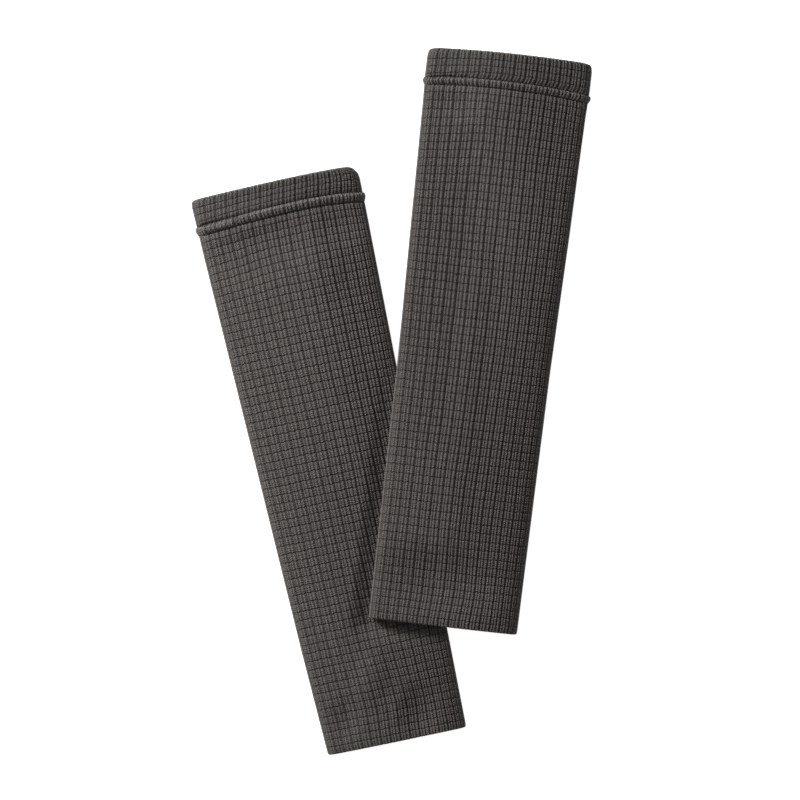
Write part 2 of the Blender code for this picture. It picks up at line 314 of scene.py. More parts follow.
@dataclass(frozen=True)
class SleeveForm:
    """One sleeve's measured shape on the table.

    top_sag is the share of the tuck's sag that is left at the top edge, and under is the sleeve that this
    one lies over, if any.
    """

    name: str
    foot: tuple[float, float]
    lean: float
    length: float
    widths: tuple[Width, ...]
    corner_left: float
    corner_right: float
    sag_left: float
    sag_right: float
    seam_tilt: float
    top_sag: float
    top_tilt: float
    foot_tilt: float
    hem_depth: float
    tuck_depth: float
    crown: float
    pulls: tuple[Pull, ...]
    creases: tuple[Crease, ...]
    lap: Lap | None = None
    under: "SleeveForm | None" = None

    @property
    def hem_start(self) -> float:
        """Where the hem starts, as a distance from the foot."""
        return self.length - self.hem_depth

    @property
    def tuck_start(self) -> float:
        """Where the tuck starts and the body ends, as a distance from the foot."""
        return self.hem_start - self.tuck_depth

    def half_widths(self, along: Floats) -> tuple[Floats, Floats]:
        """How far the sleeve reaches beside its centre line, without its rounded corners.

        Args:
            along: Distances from the foot.

        Returns:
            The reach to the left and the reach to the right.
        """
        places = [width.along for width in self.widths]
        left = np.interp(along, places, [width.left for width in self.widths])
        right = np.interp(along, places, [width.right for width in self.widths])
        return left, right

    def sides(self, along: Floats) -> tuple[Floats, Floats]:
        """How far the sleeve reaches to its folds, rounded corners and all.

        Args:
            along: Distances from the foot.

        Returns:
            The reach to the left and the reach to the right.
        """
        left, right = self.half_widths(along)
        foot_cut = self._corner_cut(FOOT_CORNER, along)
        left = left - foot_cut - self._corner_cut(self.corner_left, self.length - along)
        right = right - foot_cut - self._corner_cut(self.corner_right, self.length - along)
        return left, right

    @staticmethod
    def _corner_cut(radius: float, from_end: Floats) -> Floats:
        """How far a round corner draws the side in at a distance from the end."""
        short = np.clip(radius - from_end, 0.0, radius)
        return radius - np.sqrt(radius**2 - short**2)

    def slant(self, across: Floats, along: Floats) -> Floats:
        """How far a place is shifted along: the tuck's line sags towards the folds, and the ends may tilt.

        Args:
            across, along: Places on the sleeve.

        Returns:
            A distance for each place, below 0 towards the foot.
        """
        sag = np.where(across < 0, self.sag_left, self.sag_right) * np.abs(across) ** SAG_POWER
        up_hem = ease((along - self.hem_start) / self.hem_depth)
        share = ease(1 - (self.tuck_start - along) / SAG_REACH) * (1 - (1 - self.top_sag) * up_hem)
        shift = (self.seam_tilt * across - sag) * share + self.top_tilt * across * up_hem
        return shift - self.foot_tilt * across * ease(1 - along / FOOT_TILT_REACH)

    def to_table(self, x: Floats, y: Floats) -> tuple[Floats, Floats]:
        """A place in the sleeve's own plan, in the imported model's frame."""
        cos, sin = math.cos(self.lean), math.sin(self.lean)
        return self.foot[0] + x * cos + y * sin, self.foot[1] - x * sin + y * cos

    def from_table(self, x: Floats, y: Floats) -> tuple[Floats, Floats]:
        """The reverse of to_table.

        Args:
            x, y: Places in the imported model's frame.

        Returns:
            x and y in the sleeve's own plan.
        """
        cos, sin = math.cos(self.lean), math.sin(self.lean)
        x, y = x - self.foot[0], y - self.foot[1]
        return x * cos - y * sin, x * sin + y * cos

    def swelling(self, across: Floats, along: Floats) -> Floats:
        """How far the upper panel stands over a flat one: its crown, and its creases.

        Args:
            across, along: Places on the sleeve.

        Returns:
            A height for each place.
        """
        left, right = self.half_widths(along)
        x = (right - left) / 2 + (left + right) / 2 * across
        inside = np.clip(1 - across * across, 0.0, 1.0)
        height = self.crown * inside + SHOULDER_CROWN * np.clip(1 - across**SHOULDER_POWER, 0.0, 1.0)
        for crease in self.creases:
            height = height + crease.rise(x, along) * np.sqrt(inside)
        return height if self.lap is None else height * (1 - self.lap.press(x, along))

    def lift(self, x: Floats, y: Floats) -> Floats:
        """How far the sleeve underneath holds a point of this one off the table.

        Args:
            x, y: Places in this sleeve's own plan.

        Returns:
            A height for each place, 0 where there is no sleeve underneath.
        """
        if self.under is None:
            return np.zeros_like(x)
        below_x, below_along = self.under.from_table(*self.to_table(x, y))
        left, right = self.under.half_widths(below_along)
        half = (left + right) / 2
        across = (below_x - (right - left) / 2) / half
        rest = 2 * BODY_WALL + PANEL_GAP + LAY_GAP
        return rest * ease(1 - (across - 1) * half / DRAPE_REACH)

    def skin(self, stretch: Stretch, across: Floats, along: Floats, sink: Floats, upper: Floats) -> Floats:
        """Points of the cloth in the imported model's frame.

        Args:
            stretch: The piece whose wall sets the thickness.
            across, along: Where each point lies on the flat sleeve.
            sink: How deep it lies under the outer skin, or below 0 for how far it stands proud.
            upper: True for a point of the upper panel.

        Returns:
            An array of one row of x, y and z for each point.
        """
        left, right = self.sides(along)
        half = (left + right) / 2 - sink
        x = (right - left) / 2 + half * across
        fold_height = stretch.wall + PANEL_GAP / 2
        reach = np.maximum(np.where(upper, UPPER_ROUND, UNDER_ROUND) - sink, LEAST_ROUND)
        over = np.clip((np.abs(across) * half - (half - reach)) / reach, 0.0, 1.0)
        arc = np.sqrt(1 - over * over)
        top = fold_height + (fold_height - sink) * arc + self.swelling(across, along)
        bottom = fold_height - (fold_height - np.maximum(sink, 0.0)) * arc
        y = along + self.slant(across, along)
        z = np.where(upper, top, bottom) + self.lift(x, y)
        table_x, table_y = self.to_table(x, y)
        return np.stack([table_x, table_y, z], axis=1)

    def place_knit(self, stretch: Stretch, ring: Floats, row: Floats) -> tuple[Floats, Floats, Floats]:
        """Where points of the flat knit lie on this sleeve.

        Args:
            stretch: The piece that the knit belongs to.
            ring: Each point's column, counted all round from the upper panel's left edge.
            row: Each point's row, counted from the piece's lower edge.

        Returns:
            across, along and upper for each point.
        """
        upper_columns, fold, under_columns = (
            COLUMNS[band] for band in (Band.UPPER, Band.RIGHT_FOLD, Band.UNDER))
        at_right = (ring - upper_columns) / fold
        at_left = (RING_COLUMNS - ring) / fold
        in_upper = ring <= upper_columns
        turning = np.where(ring < upper_columns + fold, at_right, at_left)
        in_fold = ~in_upper & (turning < 1)

        share = 2 * np.clip(ring, 0, upper_columns) / upper_columns - 1
        share = np.where(in_fold & (at_left < 1), -1.0, share)
        up = row / stretch.rows
        along = self._spread_rows(stretch, up)
        shift_across, shift_along = self._pulled(share, along, up)
        fade = np.where(in_upper, 1.0, np.where(in_fold, ease(1 - turning), 0.0))
        along = along + shift_along * fade

        left, right = self.sides(along)
        half = (left + right) / 2
        on_upper = self._over_upper(share, along, shift_across)
        on_fold = np.where(at_left < 1, -1.0, 1.0) * self._round_fold(turning, half)
        under_share = 1 - 2 * (ring - upper_columns - fold) / under_columns
        on_under = under_share * (1 - UNDER_ROUND / half)
        across = np.where(in_upper, on_upper, np.where(in_fold, on_fold, on_under))
        return across, along, in_upper | (in_fold & (turning <= UPPER_SHARE_OF_FOLD))

    @staticmethod
    def _spread_rows(stretch: Stretch, up: Floats) -> Floats:
        """Where rows lie along the sleeve, a long piece's crowded a little towards its two ends.

        Args:
            stretch: The piece that the rows belong to.
            up: Each row's share of all the rows.

        Returns:
            Distances from the foot.
        """
        half_way = 2 * up - 1
        if stretch.rows > LONG_PIECE_ROWS:
            half_way = half_way * (1 + ROW_CROWDING) - ROW_CROWDING * half_way**CROWDING_POWER
        return stretch.start + stretch.length * (half_way + 1) / 2

    def _pulled(self, share: Floats, along: Floats, up: Floats) -> tuple[Floats, Floats]:
        """How far the knit was dragged as the sleeve was laid down, which dies away at a piece's ends.

        Args:
            share: Each point's place across the upper panel, from -1 to 1.
            along: Its distance from the foot.
            up: Its row's share of all the piece's rows.

        Returns:
            Shifts across and along.
        """
        calm = ease(up * PULL_FADE) * ease((1 - up) * PULL_FADE)
        shift_across, shift_along = np.zeros_like(along), np.zeros_like(along)
        for pull in self.pulls:
            weight = swell((share - pull.across) / pull.wide) * swell((along - pull.along) / pull.tall)
            shift_across += weight * (1 - share * share) * pull.slip_across * calm
            shift_along += weight * pull.slip_along * calm
        return shift_across, shift_along

    def _over_upper(self, share: Floats, along: Floats, shift: Floats) -> Floats:
        """Where the upper panel's columns lie. Only those beside a fold bend in with a rounded corner.

        Args:
            share: Each point's place across the upper panel, from -1 to 1.
            along: Its distance from the foot.
            shift: How far the knit was dragged across.

        Returns:
            across for each point.
        """
        left, right = self.sides(along)
        plain_left, plain_right = self.half_widths(along)
        spread = share * (1 + FOLD_CROWDING) - FOLD_CROWDING * share**CROWDING_POWER
        cut = np.where(spread < 0, left - plain_left, plain_right - right)
        off_centre = (plain_right - plain_left - right + left) / 2 - cut * np.abs(spread) ** CORNER_POWER
        reach = (plain_left + plain_right) / 2 - SHOULDER
        return (spread * reach + off_centre + shift) / ((left + right) / 2)

    @staticmethod
    def _round_fold(turning: Floats, half: Floats) -> Floats:
        """How far out the places of a fold lie.

        Args:
            turning: Each place's share of the fold, from the upper panel to the one underneath.
            half: Half the sleeve's width there.

        Returns:
            The distance from the centre line, 1 at the very edge.
        """
        first_turn = math.asin(1 - SHOULDER / UPPER_ROUND)
        over_top = first_turn + (math.pi / 2 - first_turn) * turning / UPPER_SHARE_OF_FOLD
        over_top = 1 - UPPER_ROUND * (1 - np.sin(over_top)) / half
        round_under = (turning - UPPER_SHARE_OF_FOLD) / (1 - UPPER_SHARE_OF_FOLD) * math.pi / 2
        round_under = 1 - UNDER_ROUND * (1 - np.cos(round_under)) / half
        return np.where(turning <= UPPER_SHARE_OF_FOLD, over_top, round_under)


# Nodes and finishes


class Nodes:
    """A node tree, and the means to add nodes to it and to join them."""

    def __init__(self, tree: bpy.types.NodeTree) -> None:
        """Work on one tree."""
        self.tree = tree

    def feed(self, socket: bpy.types.NodeSocket, value: object) -> None:
        """Give an input its value.

        Args:
            socket: The input.
            value: A plain value, or the socket that is linked to it.
        """
        if isinstance(value, bpy.types.NodeSocket):
            self.tree.links.new(value, socket)
        else:
            socket.default_value = value

    def feed_all(self, node: bpy.types.Node, inputs: dict[str | int, object]) -> None:
        """Give several inputs of a node their values, by name or number."""
        for slot, value in inputs.items():
            self.feed(node.inputs[slot], value)

    def add(self, kind: str, inputs: dict[str | int, object] | None = None,
            **settings: object) -> bpy.types.Node:
        """Add a node.

        Args:
            kind: The node's type.
            inputs: A plain value or a socket to link, for each input that gets one.
            **settings: Values of the node's own properties.

        Returns:
            The new node.
        """
        node = self.tree.nodes.new(kind)
        for key, value in settings.items():
            setattr(node, key, value)
        self.feed_all(node, inputs or {})
        return node

    def math(self, operation: str, *values: object) -> bpy.types.NodeSocket:
        """One arithmetic node, with sockets or plain numbers for its inputs."""
        return self.add("ShaderNodeMath", dict(enumerate(values)), operation=operation).outputs[0]

    def from_whole(self, value: bpy.types.NodeSocket) -> bpy.types.NodeSocket:
        """How far a number lies from the nearest whole one."""
        return self.math("PINGPONG", value, 0.5)

    def between(self, value: bpy.types.NodeSocket, **limits: float) -> bpy.types.NodeSocket:
        """Bring a number from one range to another, with limits such as From_Min and To_Max."""
        inputs = {label.replace("_", " "): limit for label, limit in limits.items()}
        return self.add("ShaderNodeMapRange", {"Value": value, **inputs}).outputs["Result"]

    def noise(self, scale: float, detail: float, roughness: float = 0.5) -> bpy.types.NodeSocket:
        """Fine noise that stays with the piece, because it reads its Object coordinates."""
        place = self.add("ShaderNodeTexCoord").outputs["Object"]
        return self.add("ShaderNodeTexNoise", {
            "Vector": place, "Scale": scale, "Detail": detail, "Roughness": roughness}).outputs["Fac"]


@dataclass(frozen=True)
class YarnFinish:
    """Soft, matt, slightly heathered yarn. Its colours are linear, and its lengths are in metres.

    The darker colour painted into the grooves as their shade holds up to a relief of shade_up_to,
    and the yarn's own colour from yarn_from on. row_line is how much brightness the painted shade
    in the line between two rows leaves. A row's crest of loops stands at crest_place of the row, and
    loop_height and row_crest are shares of loop_depth.
    """

    name: str
    yarn: tuple[float, float, float]
    painted_shade: tuple[float, float, float]
    shade_up_to: float = 0.10
    yarn_from: float = 0.85
    tone_spread: float = 0.05
    heather: float = 0.32
    fleck_scale: float = 900.0
    fleck_detail: float = 3.0
    fleck_roughness: float = 0.6
    fleck_range: tuple[float, float] = (0.3, 0.7)
    row_line: float = 0.73
    row_line_wide: float = 0.10
    row_crest: float = 0.30
    crest_place: float = 0.74
    crest_reach: float = 0.14
    loops_in_row: float = 4.0
    half_bars_in_column: float = 6.0
    loop_depth: float = 0.00036
    loop_height: float = 0.5
    wobble_scale: float = 700.0
    wobble_detail: float = 2.0
    wobble: float = 0.8
    roughness: float = 0.82
    specular: float = 0.30
    sheen: float = 0.12
    sheen_roughness: float = 0.45
    sheen_tint: tuple[float, float, float] = (0.82, 0.79, 0.77)

    def material(self) -> bpy.types.Material:
        """Build the node material.

        Returns:
            A material that reads the knit's own UV map and its relief and tone attributes.
        """
        material = bpy.data.materials.new(self.name)
        material.use_nodes = True
        nodes = Nodes(material.node_tree)
        knit = nodes.add("ShaderNodeUVMap", uv_map="knit").outputs["UV"]
        place = nodes.add("ShaderNodeSeparateXYZ", {"Vector": knit}).outputs
        bump = nodes.add("ShaderNodeBump", {
            "Strength": 1.0,
            "Distance": self.loop_depth,
            "Height": self._loops(nodes, place["X"], place["Y"]),
        })
        nodes.feed_all(material.node_tree.nodes["Principled BSDF"], {
            "Base Color": self._colour(nodes, place["Y"]),
            "Roughness": self.roughness,
            "Metallic": 0.0,
            "Specular IOR Level": self.specular,
            "Sheen Weight": self.sheen,
            "Sheen Roughness": self.sheen_roughness,
            "Sheen Tint": (*self.sheen_tint, 1.0),
            "Normal": bump.outputs["Normal"],
        })
        return material

    def _colour(self, nodes: Nodes, row: bpy.types.NodeSocket) -> bpy.types.NodeSocket:
        """Yarn colour: painted shade down in the grooves and along the line between rows, each cell a little
        off the next, and heathered.

        Args:
            nodes: The material's nodes.
            row: The knit's row at a point of the cloth.

        Returns:
            The colour.
        """
        relief, tone = (nodes.add("ShaderNodeAttribute", attribute_name=label).outputs["Fac"]
                        for label in ("relief", "tone"))
        # Painted shade: the colour falls from the yarn's own to a darker groove colour as the relief falls
        ramp = nodes.add("ShaderNodeValToRGB", {"Fac": relief})
        low, high = ramp.color_ramp.elements
        low.position, low.color = self.shade_up_to, (*self.painted_shade, 1.0)
        high.position, high.color = self.yarn_from, (*self.yarn, 1.0)

        cell = nodes.between(tone, To_Min=1 - self.tone_spread, To_Max=1 + self.tone_spread)
        flecks = nodes.between(nodes.noise(self.fleck_scale, self.fleck_detail, self.fleck_roughness),
                               From_Min=self.fleck_range[0], From_Max=self.fleck_range[1],
                               To_Min=1 - self.heather, To_Max=1 + self.heather)
        # Painted shade along the thin line between two rows of loops
        line = nodes.add("ShaderNodeMapRange", {
            "Value": nodes.from_whole(row),
            "From Max": self.row_line_wide,
            "To Min": self.row_line,
        }, interpolation_type="SMOOTHSTEP").outputs["Result"]
        # The cells' random tone and the heather are real; the row line is painted shade
        tone_heather_and_painted_shade = nodes.math("MULTIPLY", nodes.math("MULTIPLY", cell, flecks), line)
        return nodes.add("ShaderNodeVectorMath", {0: ramp.outputs["Color"], "Scale": tone_heather_and_painted_shade},
                         operation="SCALE").outputs["Vector"]

    def _loops(self, nodes: Nodes, column: bpy.types.NodeSocket,
               row: bpy.types.NodeSocket) -> bpy.types.NodeSocket:
        """Height of the yarn's own loops: small chevrons stacked along every bar of the knit.

        Args:
            nodes: The material's nodes.
            column, row: The knit's column and row at a point of the cloth.

        Returns:
            The height, in shares of the loops' depth.
        """
        wobble = nodes.noise(self.wobble_scale, self.wobble_detail)
        lean = nodes.from_whole(nodes.math("MULTIPLY", column, self.half_bars_in_column))
        along = nodes.math("ADD", nodes.math("MULTIPLY", row, self.loops_in_row), lean)
        along = nodes.math("ADD", along, nodes.math("MULTIPLY", wobble, self.wobble))
        wave = nodes.math("SINE", nodes.math("MULTIPLY", along, math.tau))
        loops = nodes.math("ADD", nodes.math("MULTIPLY", wave, self.loop_height), wobble)
        off_crest = nodes.math("SUBTRACT", nodes.math("FRACT", row), self.crest_place)
        off_crest = nodes.math("DIVIDE", nodes.math("ABSOLUTE", off_crest), self.crest_reach)
        crest = nodes.math("MAXIMUM", nodes.math("SUBTRACT", 1.0, off_crest), 0.0)
        return nodes.math("ADD", loops, nodes.math("MULTIPLY", crest, self.row_crest))


@dataclass(frozen=True)
class FloorFinish:
    """The plain pale surface that the pair lies on, lit a little from within like a light table."""

    name: str = "pale_floor"
    color: tuple[float, float, float] = (0.88, 0.88, 0.88)
    roughness: float = 0.9
    glow: float = 0.85

    def material(self) -> bpy.types.Material:
        """Build the floor's material.

        Returns:
            The material.
        """
        material = bpy.data.materials.new(self.name)
        material.use_nodes = True
        Nodes(material.node_tree).feed_all(material.node_tree.nodes["Principled BSDF"], {
            "Base Color": (*self.color, 1.0),
            "Roughness": self.roughness,
            "Emission Color": (1.0, 1.0, 1.0, 1.0),
            "Emission Strength": self.glow,
        })
        return material


# The knit, made flat

# The random tones have a seed of their own beside the random heights, and a quad's corners are four
TONE_SEED = 7.0
QUAD = 4


@dataclass(frozen=True)
class KnitCell:
    """The relief of one knit cell: three bars of loops between two deep grooves, closed by a thin one.

    Heights are in shares of the bars' full height, at bar_places across and row_places along.
    """

    bar_places: tuple[float, ...] = (0.0, 0.08, 0.16, 0.22, 0.29, 0.36, 0.44, 0.52, 0.59, 0.69, 0.80, 0.91)
    bar_heights: tuple[float, ...] = (0.0, 0.48, 0.92, 0.80, 0.34, 0.84, 1.0, 0.74, 0.28, 0.74, 1.0, 0.58)
    row_places: tuple[float, ...] = (0.0, 0.06, 0.15, 0.83, 0.94)
    row_heights: tuple[float, ...] = (0.20, 0.86, 0.97, 0.99, 0.90)

    def bars(self, place: Floats) -> Floats:
        """Height of the bars at places across a cell, from 0 to 1 and round again."""
        heights = self.bar_heights + self.bar_heights[:1]
        return np.interp(np.mod(place, 1.0), self.bar_places + (1.0,), heights)

    def build(self, steps: int) -> bpy.types.Object:
        """Make the cell as a small mesh, one unit wide and one unit long.

        Args:
            steps: Facets across the cell.

        Returns:
            A linked object, for a node tree to repeat.
        """
        even = steps != len(self.bar_places)
        places = np.linspace(0, 1, steps + 1) if even else np.array(self.bar_places + (1.0,))
        rows = self.row_places + (1.0,)
        heights = self.row_heights + self.row_heights[:1]
        bars = self.bars(places)
        bars[-1] = bars[0]
        bm = bmesh.new()
        grid = [
            [bm.verts.new((place, row, bar * height)) for place, bar in zip(places, bars)]
            for row, height in zip(rows, heights)
        ]
        for low, high in zip(grid, grid[1:]):
            for side in range(steps):
                bm.faces.new((low[side], low[side + 1], high[side + 1], high[side]))
        mesh = bpy.data.meshes.new("knit_cell")
        bm.to_mesh(mesh)
        bm.free()
        return put("knit_cell", mesh)


# A tuck has bars alone, with no line between rows, and its facets are finest at its two seams
TUCK_STEPS = 12
TUCK_CELL = KnitCell(
    row_places=tuple((1 - math.cos(math.pi * step / TUCK_STEPS)) / 2 for step in range(TUCK_STEPS)),
    row_heights=(0.3,) + (1.0,) * (TUCK_STEPS - 1))
HEM_CELL = KnitCell(row_heights=(0.15, 0.80, 0.97, 0.99, 0.84))


class NodeTree(Nodes):
    """A Geometry Nodes tree with named inputs, and the means to run it once for a plain mesh."""

    def __init__(self, name: str, inputs: dict[str, tuple[str, object]]) -> None:
        """Start a tree.

        Args:
            name: The tree's name.
            inputs: Socket type and default value of each named input. A default of None is left out.
        """
        super().__init__(bpy.data.node_groups.new(name, "GeometryNodeTree"))
        for side in ("INPUT", "OUTPUT"):
            self.tree.interface.new_socket("Geometry", in_out=side, socket_type="NodeSocketGeometry")
        self.ids: dict[str, str] = {}
        for label, (kind, default) in inputs.items():
            socket = self.tree.interface.new_socket(label, in_out="INPUT", socket_type=kind)
            if default is not None:
                socket.default_value = default
            self.ids[label] = socket.identifier
        self.source = self.add("NodeGroupInput").outputs
        self.sink = self.add("NodeGroupOutput").inputs

    def vector(self, **parts: object) -> bpy.types.NodeSocket:
        """A vector of its X, Y and Z, each a socket or a plain number."""
        return self.add("ShaderNodeCombineXYZ", parts).outputs["Vector"]

    def random(self, seed: bpy.types.NodeSocket, lowest: object = 0.0,
               highest: object = 1.0) -> bpy.types.NodeSocket:
        """A random number for each element.

        Args:
            seed: The seed.
            lowest, highest: The range, as sockets or plain numbers.

        Returns:
            The number.
        """
        node = self.add("FunctionNodeRandomValue", {"Seed": seed}, data_type="FLOAT")
        limits = [socket for socket in node.inputs if socket.type == "VALUE"]
        self.feed(limits[0], lowest)
        self.feed(limits[1], highest)
        return next(socket for socket in node.outputs if socket.type == "VALUE")

    def repeat(self, thing: bpy.types.NodeSocket, points: bpy.types.NodeSocket,
               **placing: bpy.types.NodeSocket) -> bpy.types.NodeSocket:
        """Set an object at every point, with the Rotation and Scale that are given."""
        info = self.add("GeometryNodeObjectInfo", {"Object": thing, "As Instance": True})
        return self.add("GeometryNodeInstanceOnPoints", {
            "Points": points, "Instance": info.outputs["Geometry"], **placing}).outputs["Instances"]

    def end(self, instances: bpy.types.NodeSocket, material: bpy.types.NodeSocket) -> None:
        """Make the instances real, set their material, and hand them out.

        Args:
            instances: What the tree has made.
            material: Its material.
        """
        real = self.add("GeometryNodeRealizeInstances", {"Geometry": instances})
        dressed = self.add("GeometryNodeSetMaterial", {
            "Geometry": real.outputs["Geometry"], "Material": material})
        self.feed(self.sink["Geometry"], dressed.outputs["Geometry"])

    def run(self, host_mesh: bpy.types.Mesh, **values: object) -> bpy.types.Mesh:
        """Evaluate the tree on a mesh.

        Args:
            host_mesh: The mesh that the tree gets as its geometry.
            **values: A value for each named input, with underscores for the spaces in its name.

        Returns:
            The result as a plain mesh.
        """
        host = put("node_host", host_mesh)
        modifier = host.modifiers.new("nodes", "NODES")
        modifier.node_group = self.tree
        for label, value in values.items():
            modifier[self.ids[label.replace("_", " ")]] = value
        evaluated = host.evaluated_get(bpy.context.evaluated_depsgraph_get())
        mesh = bpy.data.meshes.new_from_object(evaluated)
        bpy.data.objects.remove(host, do_unlink=True)
        return mesh


class KnitWebTree(NodeTree):
    """Repeats one knit cell over columns and rows, each cell a little higher or lower than the next."""

    def __init__(self) -> None:
        """Build the tree."""
        super().__init__("knit web", {
            "Cell": ("NodeSocketObject", None),
            "Columns": ("NodeSocketInt", 15),
            "Rows": ("NodeSocketInt", 65),
            "Unevenness": ("NodeSocketFloat", 0.1),
            "Seed": ("NodeSocketInt", 1),
            "Yarn": ("NodeSocketMaterial", None),
        })
        source = self.source
        index = self.add("GeometryNodeInputIndex").outputs["Index"]
        column = self.math("MODULO", index, source["Columns"])
        # Half a cell further on, so that a whole quotient is never rounded down
        further_on = self.math("ADD", index, 0.5)
        row = self.math("FLOOR", self.math("DIVIDE", further_on, source["Columns"]))
        points = self.add("GeometryNodePoints", {
            "Count": self.math("MULTIPLY", source["Columns"], source["Rows"]),
            "Position": self.vector(X=column, Y=row),
        }).outputs[0]
        height = self.random(source["Seed"], lowest=self.math("SUBTRACT", 1.0, source["Unevenness"]))
        cells = self.repeat(source["Cell"], points, Scale=self.vector(X=1.0, Y=1.0, Z=height))
        toned = self.add("GeometryNodeStoreNamedAttribute", {
            "Geometry": cells,
            "Name": "tone",
            "Value": self.random(self.math("ADD", source["Seed"], TONE_SEED)),
        }, data_type="FLOAT", domain="INSTANCE")
        self.end(toned.outputs["Geometry"], source["Yarn"])


class StitchTree(NodeTree):
    """Sets one thread stitch at every point of a seam, turned to run along it and to face outwards."""

    def __init__(self) -> None:
        """Build the tree."""
        super().__init__("seam stitches", {
            "Stitch": ("NodeSocketObject", None),
            "Slant": ("NodeSocketFloat", 0.5),
            "Size": ("NodeSocketFloat", 1.0),
            "Size Spread": ("NodeSocketFloat", 0.15),
            "Seed": ("NodeSocketInt", 1),
            "Thread": ("NodeSocketMaterial", None),
        })
        source = self.source
        points = self.add("GeometryNodeMeshToPoints", {"Mesh": source["Geometry"]}).outputs["Points"]
        run, out = (
            self.add("GeometryNodeInputNamedAttribute", {"Name": label},
                     data_type="FLOAT_VECTOR").outputs["Attribute"]
            for label in ("run", "out"))
        along = self.add("FunctionNodeAlignRotationToVector", {"Vector": run}, axis="X")
        facing = self.add("FunctionNodeAlignRotationToVector", {
            "Rotation": along.outputs["Rotation"], "Vector": out}, axis="Z", pivot_axis="X")
        slanted = self.add("FunctionNodeRotateRotation", {
            "Rotation": facing.outputs["Rotation"], "Rotate By": self.vector(Z=source["Slant"]),
        }, rotation_space="LOCAL")
        size = self.random(
            source["Seed"],
            lowest=self.math("SUBTRACT", source["Size"], source["Size Spread"]),
            highest=self.math("ADD", source["Size"], source["Size Spread"]))
        stitches = self.repeat(source["Stitch"], points, Rotation=slanted.outputs["Rotation"], Scale=size)
        self.end(stitches, source["Thread"])


@dataclass
class FlatKnit:
    """The knit all round one piece, still flat.

    Vertices have a ring column, a row, a relief and a tone. Faces index them, and knit_uv holds the
    ring column and row of every face corner, which doesn't wrap where the ring closes.
    """

    ring: Floats
    row: Floats
    relief: Floats
    tone: Floats
    faces: list[tuple[int, ...]]
    knit_uv: list[tuple[float, float]]

    @classmethod
    def make(cls, tree: KnitWebTree, cell: KnitCell, rows: int, unevenness: float, seed: int,
             yarn: bpy.types.Material) -> "FlatKnit":
        """Run the tree for each band of the ring and weld the four webs into one tube.

        Args:
            tree: The node tree that repeats the cell.
            cell: The cell's relief.
            rows: Cells along the piece.
            unevenness: How much lower than the highest cell the lowest one may be, as a share.
            seed: Seed of the random heights and tones.
            yarn: The material that the web carries.

        Returns:
            The tube's knit, laid out flat.
        """
        spots, reliefs, tones, faces, first_vertex, first_column = [], [], [], [], 0, 0
        for gauge in RING:
            made = cell.build(gauge.steps)
            mesh = tree.run(bpy.data.meshes.new("web"), Cell=made, Columns=gauge.columns, Rows=rows,
                            Unevenness=unevenness, Seed=seed + first_column, Yarn=yarn)
            bpy.data.objects.remove(made, do_unlink=True)
            places = cls._values(mesh.vertices, "co", 3)
            corners = cls._values(mesh.loops, "vertex_index", 1, np.int64)
            spots.append(places[:, :2] + (first_column, 0))
            reliefs.append(places[:, 2])
            tones.append(cls._values(mesh.attributes["tone"].data, "value", 1)[:, 0])
            faces.append(corners.reshape(-1, QUAD) + first_vertex)
            first_vertex += len(places)
            first_column += gauge.columns
        spots, corners = np.concatenate(spots), np.concatenate(faces)
        lattice = np.round(spots * (COLUMN_GRID, ROW_GRID)).astype(np.int64)
        lattice[:, 0] %= RING_COLUMNS * COLUMN_GRID
        _, first, welded = np.unique(lattice, axis=0, return_index=True, return_inverse=True)
        return cls(
            ring=spots[first, 0] % RING_COLUMNS, row=spots[first, 1],
            relief=np.concatenate(reliefs)[first], tone=np.concatenate(tones)[first],
            faces=[tuple(face) for face in welded.reshape(-1)[corners].tolist()],
            knit_uv=[tuple(spot) for spot in spots[corners.reshape(-1)].tolist()])

    @staticmethod
    def _values(elements: bpy.types.bpy_prop_collection, key: str, width: int,
                kind: type = float) -> Floats:
        """Read one property of a mesh's elements.

        Args:
            elements: The vertices, face corners or attribute values.
            key: The property.
            width: How many numbers it has.
            kind: Their type.

        Returns:
            A row of numbers for each element.
        """
        values = np.empty((len(elements), width), dtype=kind)
        elements.foreach_get(key, values.reshape(-1))
        return values

    def edge(self, at_end: bool) -> list[int]:
        """Find the vertices of an open edge.

        Args:
            at_end: True for the upper edge, False for the lower one.

        Returns:
            Their indices, in order round the ring.
        """
        wanted = self.row.max() if at_end else 0.0
        found = np.nonzero(np.abs(self.row - wanted) < 0.5 / ROW_GRID)[0]
        return found[np.argsort(self.ring[found])].tolist()


# Shells of cloth


